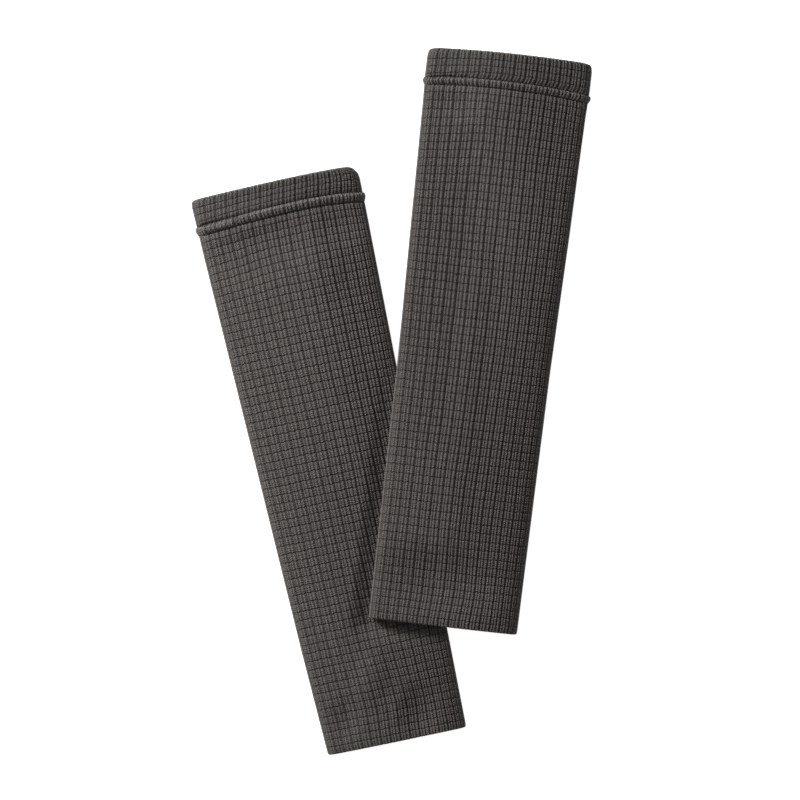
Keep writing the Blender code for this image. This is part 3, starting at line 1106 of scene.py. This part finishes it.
@dataclass
class ShellBuilder:
    """Gathers vertices, faces and their attributes for one closed shell of cloth."""

    places: list[Floats] = field(default_factory=list)
    reliefs: list[Floats] = field(default_factory=list)
    tones: list[Floats] = field(default_factory=list)
    faces: list[tuple[int, ...]] = field(default_factory=list)
    uvs: list[tuple[float, float]] = field(default_factory=list)
    count: int = 0

    def add_vertices(self, places: Floats, relief: Floats, tone: Floats) -> list[int]:
        """Add vertices.

        Args:
            places: Their places.
            relief, tone: The values that the yarn's colour follows.

        Returns:
            Their indices.
        """
        self.places.append(places)
        self.reliefs.append(relief)
        self.tones.append(tone)
        first, self.count = self.count, self.count + len(places)
        return list(range(first, self.count))

    def add_face(self, corners: tuple[int, ...], uvs: list[tuple[float, float]]) -> None:
        """Add one face with the knit place of each corner."""
        self.faces.append(corners)
        self.uvs.extend(uvs)

    def join_rings(self, low: list[int], low_ring: Floats, high: list[int], high_ring: Floats,
                   low_row: float, high_row: float) -> None:
        """Close the strip between two rings of vertices that go the same way, but not in step.

        Args:
            low, high: The vertices of the two rings. Faces look outwards where high lies beyond low,
                seen from outside with the ring running to the right.
            low_ring, high_ring: The ring column of each vertex.
            low_row, high_row: The row of each ring, for the knit's UV map.
        """
        low_at = list(low_ring) + [low_ring[0] + RING_COLUMNS]
        high_at = list(high_ring) + [high_ring[0] + RING_COLUMNS]
        low, high = low + low[:1], high + high[:1]
        a = b = 0
        while a < len(low) - 1 or b < len(high) - 1:
            if b == len(high) - 1 or (a < len(low) - 1 and low_at[a + 1] <= high_at[b + 1]):
                self.add_face((low[a], low[a + 1], high[b]),
                              [(low_at[a], low_row), (low_at[a + 1], low_row), (high_at[b], high_row)])
                a += 1
            else:
                self.add_face((low[a], high[b + 1], high[b]),
                              [(low_at[a], low_row), (high_at[b + 1], high_row), (high_at[b], high_row)])
                b += 1

    def build(self, name: str, material: bpy.types.Material) -> bpy.types.Object:
        """Make the object.

        Args:
            name: The piece's name.
            material: Its finish.

        Returns:
            A linked, smooth-shaded object at the origin.
        """
        mesh = bpy.data.meshes.new(name)
        mesh.from_pydata(np.concatenate(self.places).tolist(), [], self.faces)
        for label, values in (("relief", self.reliefs), ("tone", self.tones)):
            attribute = mesh.attributes.new(label, "FLOAT", "POINT")
            attribute.data.foreach_set("value", np.concatenate(values).astype(np.float32))
        layer = mesh.uv_layers.new(name="knit")
        layer.uv.foreach_set("vector", np.array(self.uvs, dtype=np.float32).reshape(-1))
        mesh.materials.append(material)
        mesh.shade_smooth()
        mesh.validate()
        return put(name, mesh)


@dataclass(frozen=True)
class Wave:
    """A smooth wave in the knit: its turns round the tube, its pace in radians a row, and its height."""

    turns: int
    pace: float
    start: float = 0.0
    height: float = 1.0

    def at(self, turn: Floats, row: Floats) -> Floats:
        """The wave at places round the tube, in radians, and at their rows."""
        return self.height * np.sin(self.turns * turn + self.pace * row + self.start)


# How the columns and the rows drift, and how the bars of a row stand out of line
COLUMN_DRIFT = (Wave(3, 0.41), Wave(11, -0.23, start=1.0, height=0.7), Wave(5, 0.9, height=0.6))
ROW_DRIFT = (Wave(7, 0.17, start=2.0), Wave(17, 0.6, height=0.6))
STAGGERS_IN_COLUMN = 1.5
STAGGER_PACE = 1.3


@dataclass(frozen=True)
class Lip:
    """How an open edge rolls over from the outer skin to the inner one, with no groove along it."""

    reach: float
    steps: int
    scallop: float


FOOT_LIP = Lip(reach=0.0006, steps=4, scallop=0.0002)
TOP_LIP = Lip(reach=0.0013, steps=6, scallop=0.0003)


@dataclass
class KnitPiece:
    """One knitted piece of a sleeve: its knit, laid round the sleeve's form, with a plain inside.

    relief_depth is how deep the grooves are, and unevenness how far the cells differ in it. waver is how
    far columns and rows drift, and stagger how far the bars of a row stand out of line, in rows.
    ungrooved is how much of a row beside a lip is drawn with no line across it. cut_share, how much
    longer the piece is cut than it looks, is not used.
    """

    form: SleeveForm
    stretch: Stretch
    finish: YarnFinish
    seed: int
    slot: str = "waffle_knit"
    cell: KnitCell = KnitCell()
    relief_depth: float = 0.00077
    unevenness: float = 0.06
    waver: float = 0.00010
    stagger: float = 0.045
    ungrooved: float = 0.16
    start_lip: Lip | None = None
    end_lip: Lip | None = None
    inner_stations: int = 17
    cut_share: float = 1.0

    @property
    def name(self) -> str:
        """The piece's name: that of its solid, with the word knit after it."""
        return f"{self.form.name}_{self.stretch.name}_knit"

    def rise(self, across: Floats, along: Floats) -> Floats:
        """How far the skin stands proud of a plain piece's."""
        return np.zeros_like(along)

    def shifted(self, across: Floats, along: Floats) -> Floats:
        """Where a place of the piece goes along the sleeve once it is shaped."""
        return along

    def shaded(self, relief: Floats, ring: Floats, row: Floats) -> Floats:
        """The relief that the yarn's colour follows."""
        return relief

    def edge_sink(self, along: Floats) -> Floats:
        """How far the skin is drawn in beside the piece's two ends.

        Args:
            along: Distances from the foot.

        Returns:
            A depth for each place.
        """
        stretch = self.stretch
        from_start = np.clip(1 - (along - stretch.start) / stretch.edge_reach, 0.0, 1.0)
        to_end = np.clip(1 - (stretch.end - along) / stretch.edge_reach, 0.0, 1.0)
        return stretch.start_sink * from_start**EDGE_POWER + stretch.end_sink * to_end**EDGE_POWER

    def uneven(self, ring: Floats, row: Floats) -> tuple[Floats, Floats]:
        """Small drifts of the knit, smooth and never random, which die away at a piece's two ends.

        Args:
            ring, row: Places of the flat knit.

        Returns:
            Drifts in columns and in rows.
        """
        turn = math.tau * ring / RING_COLUMNS
        columns = sum(wave.at(turn, row) for wave in COLUMN_DRIFT)
        rows = sum(wave.at(turn, row) for wave in ROW_DRIFT)
        calm = ease(row / CALM_ROWS) * ease((self.stretch.rows - row) / CALM_ROWS)
        stagger = self.stagger * np.sin(math.tau * STAGGERS_IN_COLUMN * ring + STAGGER_PACE * np.round(row))
        return columns * calm * self.waver / CELL_WIDE, (rows * self.waver / CELL_LONG + stagger) * calm

    @staticmethod
    def fold_calm(ring: Floats) -> Floats:
        """How much of the knit's relief is left where it is stretched round the folds.

        Args:
            ring: Columns of the flat knit.

        Returns:
            A share of the full relief for each.
        """
        half_fold = COLUMNS[Band.RIGHT_FOLD] / 2
        right = np.abs(ring - COLUMNS[Band.UPPER] - half_fold) - half_fold
        left = np.minimum(np.abs(ring - RING_COLUMNS + half_fold) - half_fold, ring)
        return FOLD_RELIEF + (1 - FOLD_RELIEF) * ease(np.minimum(right, left) / CALM_COLUMNS)

    def lay(self, ring: Floats, row: Floats, sink: Floats) -> Floats:
        """Lay points of the flat knit round the sleeve's form.

        Args:
            ring, row: Places of the flat knit.
            sink: How deep each point lies under the outer skin.

        Returns:
            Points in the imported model's frame.
        """
        off_ring, off_row = self.uneven(ring, row)
        moved = ring + off_ring * inward(ring)
        across, along, upper = self.form.place_knit(self.stretch, moved, row + off_row)
        sink = sink + self.edge_sink(along) * self.fold_calm(ring) - self.rise(across, along)
        return self.form.skin(self.stretch, across, self.shifted(across, along), sink, upper)

    def build(self, tree: KnitWebTree, material: bpy.types.Material) -> bpy.types.Object:
        """Make the piece as one closed shell.

        Args:
            tree: The node tree that repeats the knit's cell.
            material: The finished yarn.

        Returns:
            The shell, dressed and at the origin.
        """
        rows = self.stretch.rows
        knit = FlatKnit.make(tree, self.cell, rows, self.unevenness, self.seed, material)
        first_line = self.ungrooved if self.start_lip else 0.0
        last_line = rows - self.ungrooved if self.end_lip else float(rows)
        at_lip = (knit.row < first_line / 2) | (knit.row > (rows + last_line) / 2 + ROUNDING)
        knit.relief = np.where(at_lip, self.cell.bars(knit.ring) * LIP_BARS, knit.relief)
        knit_uv = [(ring, min(max(row, first_line), last_line)) for ring, row in knit.knit_uv]
        shell = ShellBuilder()
        sink = (1 - knit.relief) * self.relief_depth * self.fold_calm(knit.ring)
        # The relief that sets the yarn's painted groove shade, darker where it is low
        painted_shade = self.shaded(knit.relief, knit.ring, knit.row)
        outer = shell.add_vertices(self.lay(knit.ring, knit.row, sink), painted_shade, knit.tone)
        for number, face in enumerate(knit.faces):
            corners = tuple(outer[corner] for corner in face)
            shell.add_face(corners, knit_uv[QUAD * number:QUAD * (number + 1)])

        inner_rings = self._inner(shell)
        for at_end, lip in ((False, self.start_lip), (True, self.end_lip)):
            edge = knit.edge(at_end)
            ring = knit.ring[edge]
            row = last_line if at_end else first_line
            last = [outer[corner] for corner in edge]
            for lip_ring, lip_row in self._lip(shell, ring, row, at_end, lip):
                self._strip(shell, last, ring, lip_ring, ring, row, lip_row, at_end)
                last, row = lip_ring, lip_row
            inner, inner_ring = inner_rings[-1 if at_end else 0]
            self._strip(shell, last, ring, inner, inner_ring, row, row, at_end)
        return shell.build(self.name, material)

    @staticmethod
    def _strip(shell: ShellBuilder, outer: list[int], outer_ring: Floats, inner: list[int],
               inner_ring: Floats, outer_row: float, inner_row: float, at_end: bool) -> None:
        """Join two rings of an end's rim so that its faces look outwards.

        Args:
            shell: The shell that gets the faces.
            outer, inner: The vertices of the two rings.
            outer_ring, inner_ring: The ring column of each vertex.
            outer_row, inner_row: The row that the yarn of each ring is drawn as.
            at_end: True for the piece's upper end.
        """
        if at_end:
            shell.join_rings(outer, outer_ring, inner, inner_ring, outer_row, inner_row)
        else:
            shell.join_rings(inner, inner_ring, outer, outer_ring, inner_row, outer_row)

    def _lip(self, shell: ShellBuilder, ring: Floats, line: float, at_end: bool,
             lip: Lip | None) -> list[tuple[list[int], float]]:
        """Make the rings that roll an open edge over from the outer skin to the inner one.

        Args:
            shell: The shell that gets their vertices.
            ring: The ring column of each vertex of the edge.
            line: The row that the edge's yarn is drawn as.
            at_end: True for the piece's upper edge.
            lip: How the edge rolls over, or None for an edge that doesn't.

        Returns:
            Each ring's vertices, and the row that its yarn is drawn as.
        """
        if lip is None:
            return []
        made = []
        bars = self.cell.bars(ring)
        outward, edge_row = (1.0, float(self.stretch.rows)) if at_end else (-1.0, 0.0)
        row_size = self.stretch.length / self.stretch.rows
        for step in range(1, lip.steps + 1):
            angle = math.pi * step / lip.steps
            facing = max(math.cos(angle), 0.0)
            drawn = (1 - bars) * self.relief_depth * facing * self.fold_calm(ring)
            sink = self.stretch.wall * (1 - math.cos(angle)) / 2 + drawn
            reach = (lip.reach - (1 - bars) * lip.scallop) * math.sin(angle)
            places = self.lay(ring, edge_row + outward * reach / row_size, sink)
            # Painted shade: the lip darkens as it turns in towards the inner skin, and more in its grooves
            painted_shade = INSIDE_SHADE + (1 - INSIDE_SHADE) * facing
            painted_shade = painted_shade * (LIP_GROOVE_SHADE + (1 - LIP_GROOVE_SHADE) * bars)
            made.append((shell.add_vertices(places, painted_shade, np.full_like(ring, LIP_TONE)),
                         line - outward * lip.reach * step / lip.steps / row_size))
        return made

    def _inner(self, shell: ShellBuilder) -> list[tuple[list[int], Floats]]:
        """Make the plain inner faces of the two panels, joined at both folds.

        Args:
            shell: The shell that gets them.

        Returns:
            The vertices and ring columns of each ring, from the piece's lower end up.
        """
        folds = (COLUMNS[Band.UPPER] + UPPER_SHARE_OF_FOLD, RING_COLUMNS - UPPER_SHARE_OF_FOLD)
        ring = np.sort(np.append(np.arange(RING_COLUMNS, dtype=float), folds))
        # Painted shade: the plain inside is drawn darker than the yarn, and the same value serves as its
        # tone
        plain = np.full_like(ring, INSIDE_SHADE)
        rings = []
        for station in range(self.inner_stations):
            row = self.stretch.rows * station / (self.inner_stations - 1)
            places = self.lay(ring, np.full_like(ring, row), np.full_like(ring, self.stretch.wall))
            rings.append((shell.add_vertices(places, plain, plain), ring))
            if station:
                shell.join_rings(rings[-1][0], ring, rings[-2][0], ring, row, row - 1)
        return rings

    def declare(self, piece: bpy.types.Object, rests_on: list[str]) -> None:
        """Attach the piece to the root body and hide the solid that it stands for.

        Args:
            piece: The finished shell.
            rests_on: What it lies on. It is not used.
        """
        middle = (self.stretch.start + self.stretch.end) / 2
        left, right = self.form.half_widths(np.array([middle]))
        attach(piece, "root")
        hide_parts(self.name.removesuffix("_knit"))


@dataclass
class SleeveBody(KnitPiece):
    """The open tube of waffle knit, with a plain edge at the foot."""

    start_lip: Lip | None = FOOT_LIP


@dataclass
class RolledTuck(KnitPiece):
    """The rolled fold that stands proud all round under the hem, with the knit's bars running over it.

    crest_power sets how near the hem its crest is, and roundness how full its profile. joint is how far
    along the panel, from -1 to 1, the seam's two ends meet in a pinch, which flattens the roll by pinched
    and darkens it with painted shade by pinch_shade. Beyond it the roll steps down by step.
    """

    slot: str = "tuck_knit"
    cell: KnitCell = TUCK_CELL
    relief_depth: float = 0.0008
    unevenness: float = 0.08
    waver: float = 0.0
    inner_stations: int = 3
    cut_share: float = 2.0
    height: float = 0.0013
    crest_power: float = 1.6
    roundness: float = 0.7
    joint: float | None = None
    joint_wide: float = 0.045
    pinched: float = 0.9
    pinch_shade: float = 0.5
    step: float = 0.0012
    step_fades: float = 3.0

    def _pinch(self, across: Floats) -> Floats:
        """How much of the roll is pinched where the seam's ends meet.

        Args:
            across: Places across the sleeve.

        Returns:
            From 0 to 1 for each.
        """
        if self.joint is None:
            return np.zeros_like(across)
        return swell((across - self.joint) / self.joint_wide)

    def rise(self, across: Floats, along: Floats) -> Floats:
        """The roll's profile, steeper towards the foot than towards the hem.

        Args:
            across, along: Places on the sleeve.

        Returns:
            How far each stands proud of a plain piece's skin.
        """
        round_over = np.sin(math.pi * self.stretch.share(along) ** self.crest_power)
        round_over = np.clip(round_over, 0.0, 1.0) ** self.roundness
        return self.height * round_over * (1 - self.pinched * self._pinch(across))

    def shaded(self, relief: Floats, ring: Floats, row: Floats) -> Floats:
        """Paint shade into the yarn where the seam's ends meet and pinch the roll."""
        across, _, upper = self.form.place_knit(self.stretch, ring, row)
        return relief * (1 - self.pinch_shade * self._pinch(across) * upper)

    def shifted(self, across: Floats, along: Floats) -> Floats:
        """Step the roll down towards the foot beyond its joint.

        Args:
            across, along: Places on the sleeve.

        Returns:
            Where each goes along the sleeve.
        """
        if self.joint is None:
            return along
        beyond = ease((self.joint - across) / self.joint_wide + 0.5) * ease((across + 1) * self.step_fades)
        return along - self.step * beyond * np.sin(math.pi * self.stretch.share(along))


@dataclass
class TurnedHem(KnitPiece):
    """The turned hem of double cloth, which rolls over in a rounded fold at its top edge.

    skew is how many columns the seam drags the lowest row sideways, and lean is how far to the right the
    columns have gone at the top edge.
    """

    slot: str = "hem_knit"
    cell: KnitCell = HEM_CELL
    relief_depth: float = 0.00075
    waver: float = 0.0
    end_lip: Lip | None = TOP_LIP
    inner_stations: int = 5
    skew: float = 0.0
    lean: float = 0.0

    def lay(self, ring: Floats, row: Floats, sink: Floats) -> Floats:
        """Points of the hem, its knit dragged sideways by the seam and by the turn."""
        drag = self.skew * ease(1 - row) + self.lean * row / self.stretch.rows
        return super().lay(ring + drag * inward(ring), row, sink)


@dataclass
class SeamThread:
    """The blind stitches that hold the turned hem, sunk in the groove between the tuck and the hem.

    tip is the share of a stitch's girth that is left at its two ends. The thread is drawn dark, as
    painted shade of the seam's groove.
    """

    form: SleeveForm
    stretch: Stretch
    material: bpy.types.Material
    stitches: int = 84
    long: float = 0.0017
    thick: float = 0.00034
    tip: float = 0.35
    rings: int = 5
    sides: int = 5
    sink: float = 0.0006
    slant: float = 0.65
    probe: float = 0.0004

    def _stitch(self) -> bpy.types.Object:
        """Make one stitch: a short length of thread that dips into the cloth at both ends.

        Returns:
            A linked object, for a node tree to repeat.
        """
        bm = bmesh.new()
        loops = []
        for ring in range(self.rings):
            share = ring / (self.rings - 1)
            bulge = math.sin(math.pi * share)
            girth = self.thick / 2 * (self.tip + (1 - self.tip) * bulge)
            middle = Vector(((share - 0.5) * self.long, 0.0, self.thick * bulge))
            turns = [math.tau * side / self.sides for side in range(self.sides)]
            loops.append([
                bm.verts.new(middle + Vector((0.0, girth * math.cos(turn), girth * math.sin(turn))))
                for turn in turns])
        for low, high in zip(loops, loops[1:]):
            for side in range(self.sides):
                beside = (side + 1) % self.sides
                bm.faces.new((low[side], high[side], high[beside], low[beside]))
        bm.faces.new(loops[0])
        bm.faces.new(loops[-1][::-1])
        bmesh.ops.recalc_face_normals(bm, faces=bm.faces)
        mesh = bpy.data.meshes.new("stitch")
        bm.to_mesh(mesh)
        bm.free()
        mesh.shade_smooth()
        return put("stitch", mesh)

    def build(self, tree: StitchTree) -> bpy.types.Object:
        """Make all the stitches of one seam as one mesh.

        Args:
            tree: The node tree that sets the stitches.

        Returns:
            The thread, dressed and at the origin.
        """
        ring = np.arange(self.stitches) * RING_COLUMNS / self.stitches
        across, along, upper = self.form.place_knit(self.stretch, ring, np.zeros_like(ring))
        sink = np.full_like(ring, self.sink)
        places = self.form.skin(self.stretch, across, along, sink, upper)
        deeper = self.form.skin(self.stretch, across, along, sink + self.probe, upper)
        run = np.roll(places, -1, axis=0) - np.roll(places, 1, axis=0)
        seam = bpy.data.meshes.new("seam")
        seam.from_pydata(places.tolist(), [], [])
        for label, vectors in (("run", run), ("out", places - deeper)):
            unit = vectors / np.linalg.norm(vectors, axis=1, keepdims=True)
            attribute = seam.attributes.new(label, "FLOAT_VECTOR", "POINT")
            attribute.data.foreach_set("vector", unit.astype(np.float32).reshape(-1))
        stitch = self._stitch()
        mesh = tree.run(seam, Stitch=stitch, Slant=self.slant, Seed=self.stitches, Thread=self.material)
        bpy.data.objects.remove(stitch, do_unlink=True)
        return put(f"{self.form.name}_seam_thread", mesh)


# The two sleeves

LEFT = SleeveForm(
    name="left", foot=(0.003913, -0.210892), lean=math.radians(-12.44), length=0.3562,
    hem_depth=0.0153, tuck_depth=0.0063, crown=0.0024,
    widths=(
        Width(along=0.000, left=0.0443, right=0.0433),
        Width(along=0.068, left=0.0466, right=0.0450),
        Width(along=0.195, left=0.0498, right=0.0485),
        Width(along=0.300, left=0.0525, right=0.0511),
        Width(along=0.335, left=0.0533, right=0.0519),
        Width(along=0.356, left=0.0537, right=0.0522),
    ),
    corner_left=0.0034, corner_right=0.0080,
    sag_left=0.0012, sag_right=0.0042, seam_tilt=0.0012, top_sag=0.25, top_tilt=0.0, foot_tilt=0.0006,
    pulls=(
        Pull(across=-1.0, along=0.310, wide=0.9, tall=0.050, slip_across=0.000, slip_along=-0.003),
        Pull(across=0.0, along=0.020, wide=1.1, tall=0.050, slip_across=0.002, slip_along=0.000),
        Pull(across=-0.2, along=0.280, wide=1.2, tall=0.090, slip_across=-0.001, slip_along=0.000),
    ),
    creases=(
        Crease(x=-0.028, along=0.336, wide=0.052, tall=0.012, turn=1, height=0.0016),
        Crease(x=-0.030, along=0.313, wide=0.050, tall=0.022, turn=3, height=-0.0013),
        Crease(x=-0.044, along=0.140, wide=0.052, tall=0.150, turn=0, height=0.0014),
        Crease(x=0.034, along=0.321, wide=0.020, tall=0.018, turn=0, height=-0.0018),
        Crease(x=0.018, along=0.299, wide=0.020, tall=0.030, turn=-10, height=0.0010),
        Crease(x=0.008, along=0.225, wide=0.038, tall=0.110, turn=-2, height=0.0012),
        Crease(x=-0.029, along=0.021, wide=0.013, tall=0.017, turn=-15, height=-0.0020),
        Crease(x=-0.009, along=0.042, wide=0.014, tall=0.024, turn=-25, height=0.0013),
        Crease(x=0.017, along=0.015, wide=0.017, tall=0.022, turn=-10, height=-0.0022),
    ),
    lap=Lap(x=-0.0010, along=0.0787, turn=19.14, reach=0.014, foot_reach=0.016),
)

RIGHT = SleeveForm(
    name="right", foot=(0.032213, -0.139692), lean=math.radians(6.70), length=0.3579,
    hem_depth=0.0176, tuck_depth=0.0052, crown=0.0008,
    widths=(
        Width(along=0.000, left=0.0471, right=0.0454),
        Width(along=0.060, left=0.0473, right=0.0460),
        Width(along=0.165, left=0.0480, right=0.0471),
        Width(along=0.250, left=0.0498, right=0.0491),
        Width(along=0.326, left=0.0512, right=0.0504),
        Width(along=0.342, left=0.0518, right=0.0511),
        Width(along=0.357, left=0.0517, right=0.0510),
    ),
    corner_left=0.0044, corner_right=0.0040,
    sag_left=0.0027, sag_right=0.0027, seam_tilt=0.0, top_sag=0.40, top_tilt=0.0007, foot_tilt=0.0,
    pulls=(
        Pull(across=-1.0, along=0.300, wide=0.85, tall=0.085, slip_across=0.000, slip_along=-0.0042),
        Pull(across=0.0, along=0.012, wide=1.1, tall=0.055, slip_across=0.0016, slip_along=-0.001),
        Pull(across=0.3, along=0.185, wide=1.1, tall=0.110, slip_across=0.0018, slip_along=0.000),
    ),
    creases=(
        Crease(x=-0.006, along=0.338, wide=0.052, tall=0.070, turn=0, height=0.0027),
        Crease(x=0.014, along=0.295, wide=0.036, tall=0.060, turn=0, height=0.0008),
        Crease(x=0.033, along=0.180, wide=0.052, tall=0.170, turn=2, height=0.0024),
        Crease(x=-0.030, along=0.324, wide=0.020, tall=0.014, turn=0, height=-0.0016),
        Crease(x=-0.004, along=0.150, wide=0.014, tall=0.170, turn=1, height=0.0006),
        Crease(x=-0.006, along=0.029, wide=0.050, tall=0.026, turn=-8, height=-0.0040),
        Crease(x=0.040, along=0.040, wide=0.022, tall=0.070, turn=0, height=0.0008),
    ),
    under=LEFT,
)

# Each piece of a sleeve has a seed so far beyond that of the piece under it
SEED_STEP = 40


@dataclass(frozen=True)
class SleeveFinishes:
    """The finishes that both sleeves share."""

    body: YarnFinish = YarnFinish("waffle_yarn", yarn=(0.1053, 0.0944, 0.0902), painted_shade=(0.020, 0.0178, 0.017))
    # Painted light: the body's yarn made lighter for the tuck, with a lighter groove colour
    tuck: YarnFinish = YarnFinish("tuck_yarn", yarn=(0.116, 0.105, 0.100), painted_shade=(0.034, 0.031, 0.029))
    # Painted shade: the body's yarn made darker for the hem, with a darker line between rows
    hem: YarnFinish = YarnFinish("hem_yarn", yarn=(0.0915, 0.0838, 0.0790), painted_shade=(0.024, 0.0217, 0.0204),
                                 row_line=0.55)
    # Painted shade: the thread is drawn dark to stand for the shade of the seam's groove
    thread: YarnFinish = YarnFinish("seam_thread", yarn=(0.050, 0.045, 0.042), painted_shade=(0.040, 0.036, 0.034))

    def materials(self) -> dict[str, bpy.types.Material]:
        """Build the material of every finish, by name."""
        finishes = (self.body, self.tuck, self.hem, self.thread)
        return {finish.name: finish.material() for finish in finishes}


@dataclass
class Sleeve:
    """One whole sleeve: body, tuck, hem and the thread of its seam."""

    form: SleeveForm
    body_rows: int = 65
    hem_rows: int = 4
    seam_sink: float = 0.0011
    edge_reach: float = 0.0012
    tuck_edge_reach: float = 0.0008
    hem_skew: float = 0.0
    hem_lean: float = 0.0
    tuck_joint: float | None = None
    seed: int = 1

    def pieces(self, finishes: SleeveFinishes) -> list[KnitPiece]:
        """Plan the three knitted pieces.

        Args:
            finishes: The finishes of both sleeves.

        Returns:
            The body, the tuck and the hem, from the foot up.
        """
        form, sink = self.form, self.seam_sink
        body = Stretch("body", 2 * FOOT_LIP.reach, form.tuck_start + SEAM_LAP, BODY_WALL, self.body_rows,
                       FOOT_SINK, sink, self.edge_reach)
        tuck = Stretch("tuck", form.tuck_start, form.hem_start, BODY_WALL, 1,
                       sink, sink, self.tuck_edge_reach)
        hem = Stretch("hem", form.hem_start - SEAM_LAP, form.length - TOP_LIP.reach, HEM_WALL, self.hem_rows,
                      sink, 0.0, self.edge_reach)
        return [
            SleeveBody(form, body, finishes.body, self.seed),
            RolledTuck(form, tuck, finishes.tuck, self.seed + SEED_STEP, joint=self.tuck_joint),
            TurnedHem(form, hem, finishes.hem, self.seed + 2 * SEED_STEP,
                      skew=self.hem_skew, lean=self.hem_lean),
        ]

    def build(self, web: KnitWebTree, stitches: StitchTree, finishes: SleeveFinishes,
              materials: dict[str, bpy.types.Material]) -> None:
        """Build and attach every piece and the seam's thread, hide the solids, and log their triangles.

        Args:
            web: The node tree that repeats the knit's cell.
            stitches: The node tree that sets the seam's thread.
            finishes: The finishes of both sleeves.
            materials: Their materials, by name.
        """
        made = []
        parts = self.pieces(finishes)
        for part in parts:
            piece = part.build(web, materials[part.finish.name])
            part.declare(piece, ["left_body"] if self.form.under else ["floor"])
            made.append(piece)
        thread = SeamThread(self.form, parts[-1].stretch, materials[finishes.thread.name]).build(stitches)
        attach(thread, "root")
        for piece in made + [thread]:
            triangles = sum(len(face.vertices) - 2 for face in piece.data.polygons)
            log.info("%s: %d triangles", piece.name, triangles)


# The studio


@dataclass(frozen=True)
class SoftLight:
    """A soft square light that looks at the middle of the pair."""

    name: str
    place: tuple[float, float, float]
    size: float
    power: float
    color: tuple[float, float, float] = (1.0, 1.0, 1.0)

    def build(self) -> None:
        """Hang the light."""
        light = bpy.data.lights.new(self.name, "AREA")
        light.shape = "SQUARE"
        light.size = self.size
        light.energy = self.power
        light.color = self.color
        lamp = put(self.name, light)
        lamp.location = self.place
        lamp.rotation_euler = (-Vector(self.place)).to_track_quat("-Z", "Y").to_euler()
        lamp.visible_camera = False


@dataclass(frozen=True)
class Studio:
    """The pale floor, the lights, and a camera that looks straight down on the pair."""

    aim: tuple[float, float] = (0.00500, 0.00124)
    frame_width: float = 0.4960
    focus_height: float = 0.003
    lens: float = 150.0
    sensor: float = 36.0
    sight: float = 20.0
    floor_half: float = 4.0
    floor_height: float = -0.0002
    surround: float = 0.17
    lights: tuple[SoftLight, ...] = (
        SoftLight("key", (-1.315, 0.955, 0.612), 0.62, 65.0, (1.0, 0.985, 0.965)),
        SoftLight("top", (-0.2, 0.3, 1.9), 1.2, 4.0),
    )
    floor: FloorFinish = FloorFinish()

    def build(self) -> None:
        """Set the stage."""
        scene = bpy.context.scene
        scene.view_settings.view_transform = "Standard"
        scene.view_settings.look = "None"
        self._lay_floor()
        world = bpy.data.worlds.new("studio")
        world.use_nodes = True
        Nodes(world.node_tree).feed_all(world.node_tree.nodes["Background"], {
            "Color": (1.0, 1.0, 1.0, 1.0), "Strength": self.surround})
        scene.world = world
        for light in self.lights:
            light.build()
        scene.camera = self._hang_camera()

    def _lay_floor(self) -> None:
        """Lay the floor and tell the frame that it belongs to the stage."""
        half, height = self.floor_half, self.floor_height
        mesh = bpy.data.meshes.new("floor")
        mesh.from_pydata([(-half, -half, height), (half, -half, height), (half, half, height),
                          (-half, half, height)], [], [(0, 1, 2, 3)])
        mesh.materials.append(self.floor.material())
        put("floor", mesh)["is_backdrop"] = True

    def _hang_camera(self) -> bpy.types.Object:
        """Hang the camera over the pair, so far up that the picture is frame_width wide.

        Returns:
            The camera's object.
        """
        camera = bpy.data.cameras.new("camera")
        camera.lens, camera.sensor_width, camera.clip_end = self.lens, self.sensor, self.sight
        eye = put("camera", camera)
        eye.location = (*self.aim, self.focus_height + self.frame_width * self.lens / self.sensor)
        return eye


def corners(box: tuple[Vector, Vector]) -> list[list[float]]:
    """A box's two corners as plain lists of numbers."""
    return [list(corner) for corner in box]


def main() -> None:
    """Dress the pair and set the studio."""
    logging.basicConfig(level=logging.INFO, format="%(message)s")
    cad_box = corners(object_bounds())
    Studio().build()
    finishes = SleeveFinishes()
    materials = finishes.materials()
    web, stitches = KnitWebTree(), StitchTree()
    sleeves = (
        Sleeve(LEFT, tuck_joint=-0.52, hem_lean=0.42, seed=11),
        Sleeve(RIGHT, hem_skew=-0.16, seed=211),
    )
    for sleeve in sleeves:
        sleeve.build(web, stitches, finishes, materials)
    {"cad": cad_box, "scene": corners(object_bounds())}


if __name__ == "__main__":
    main()
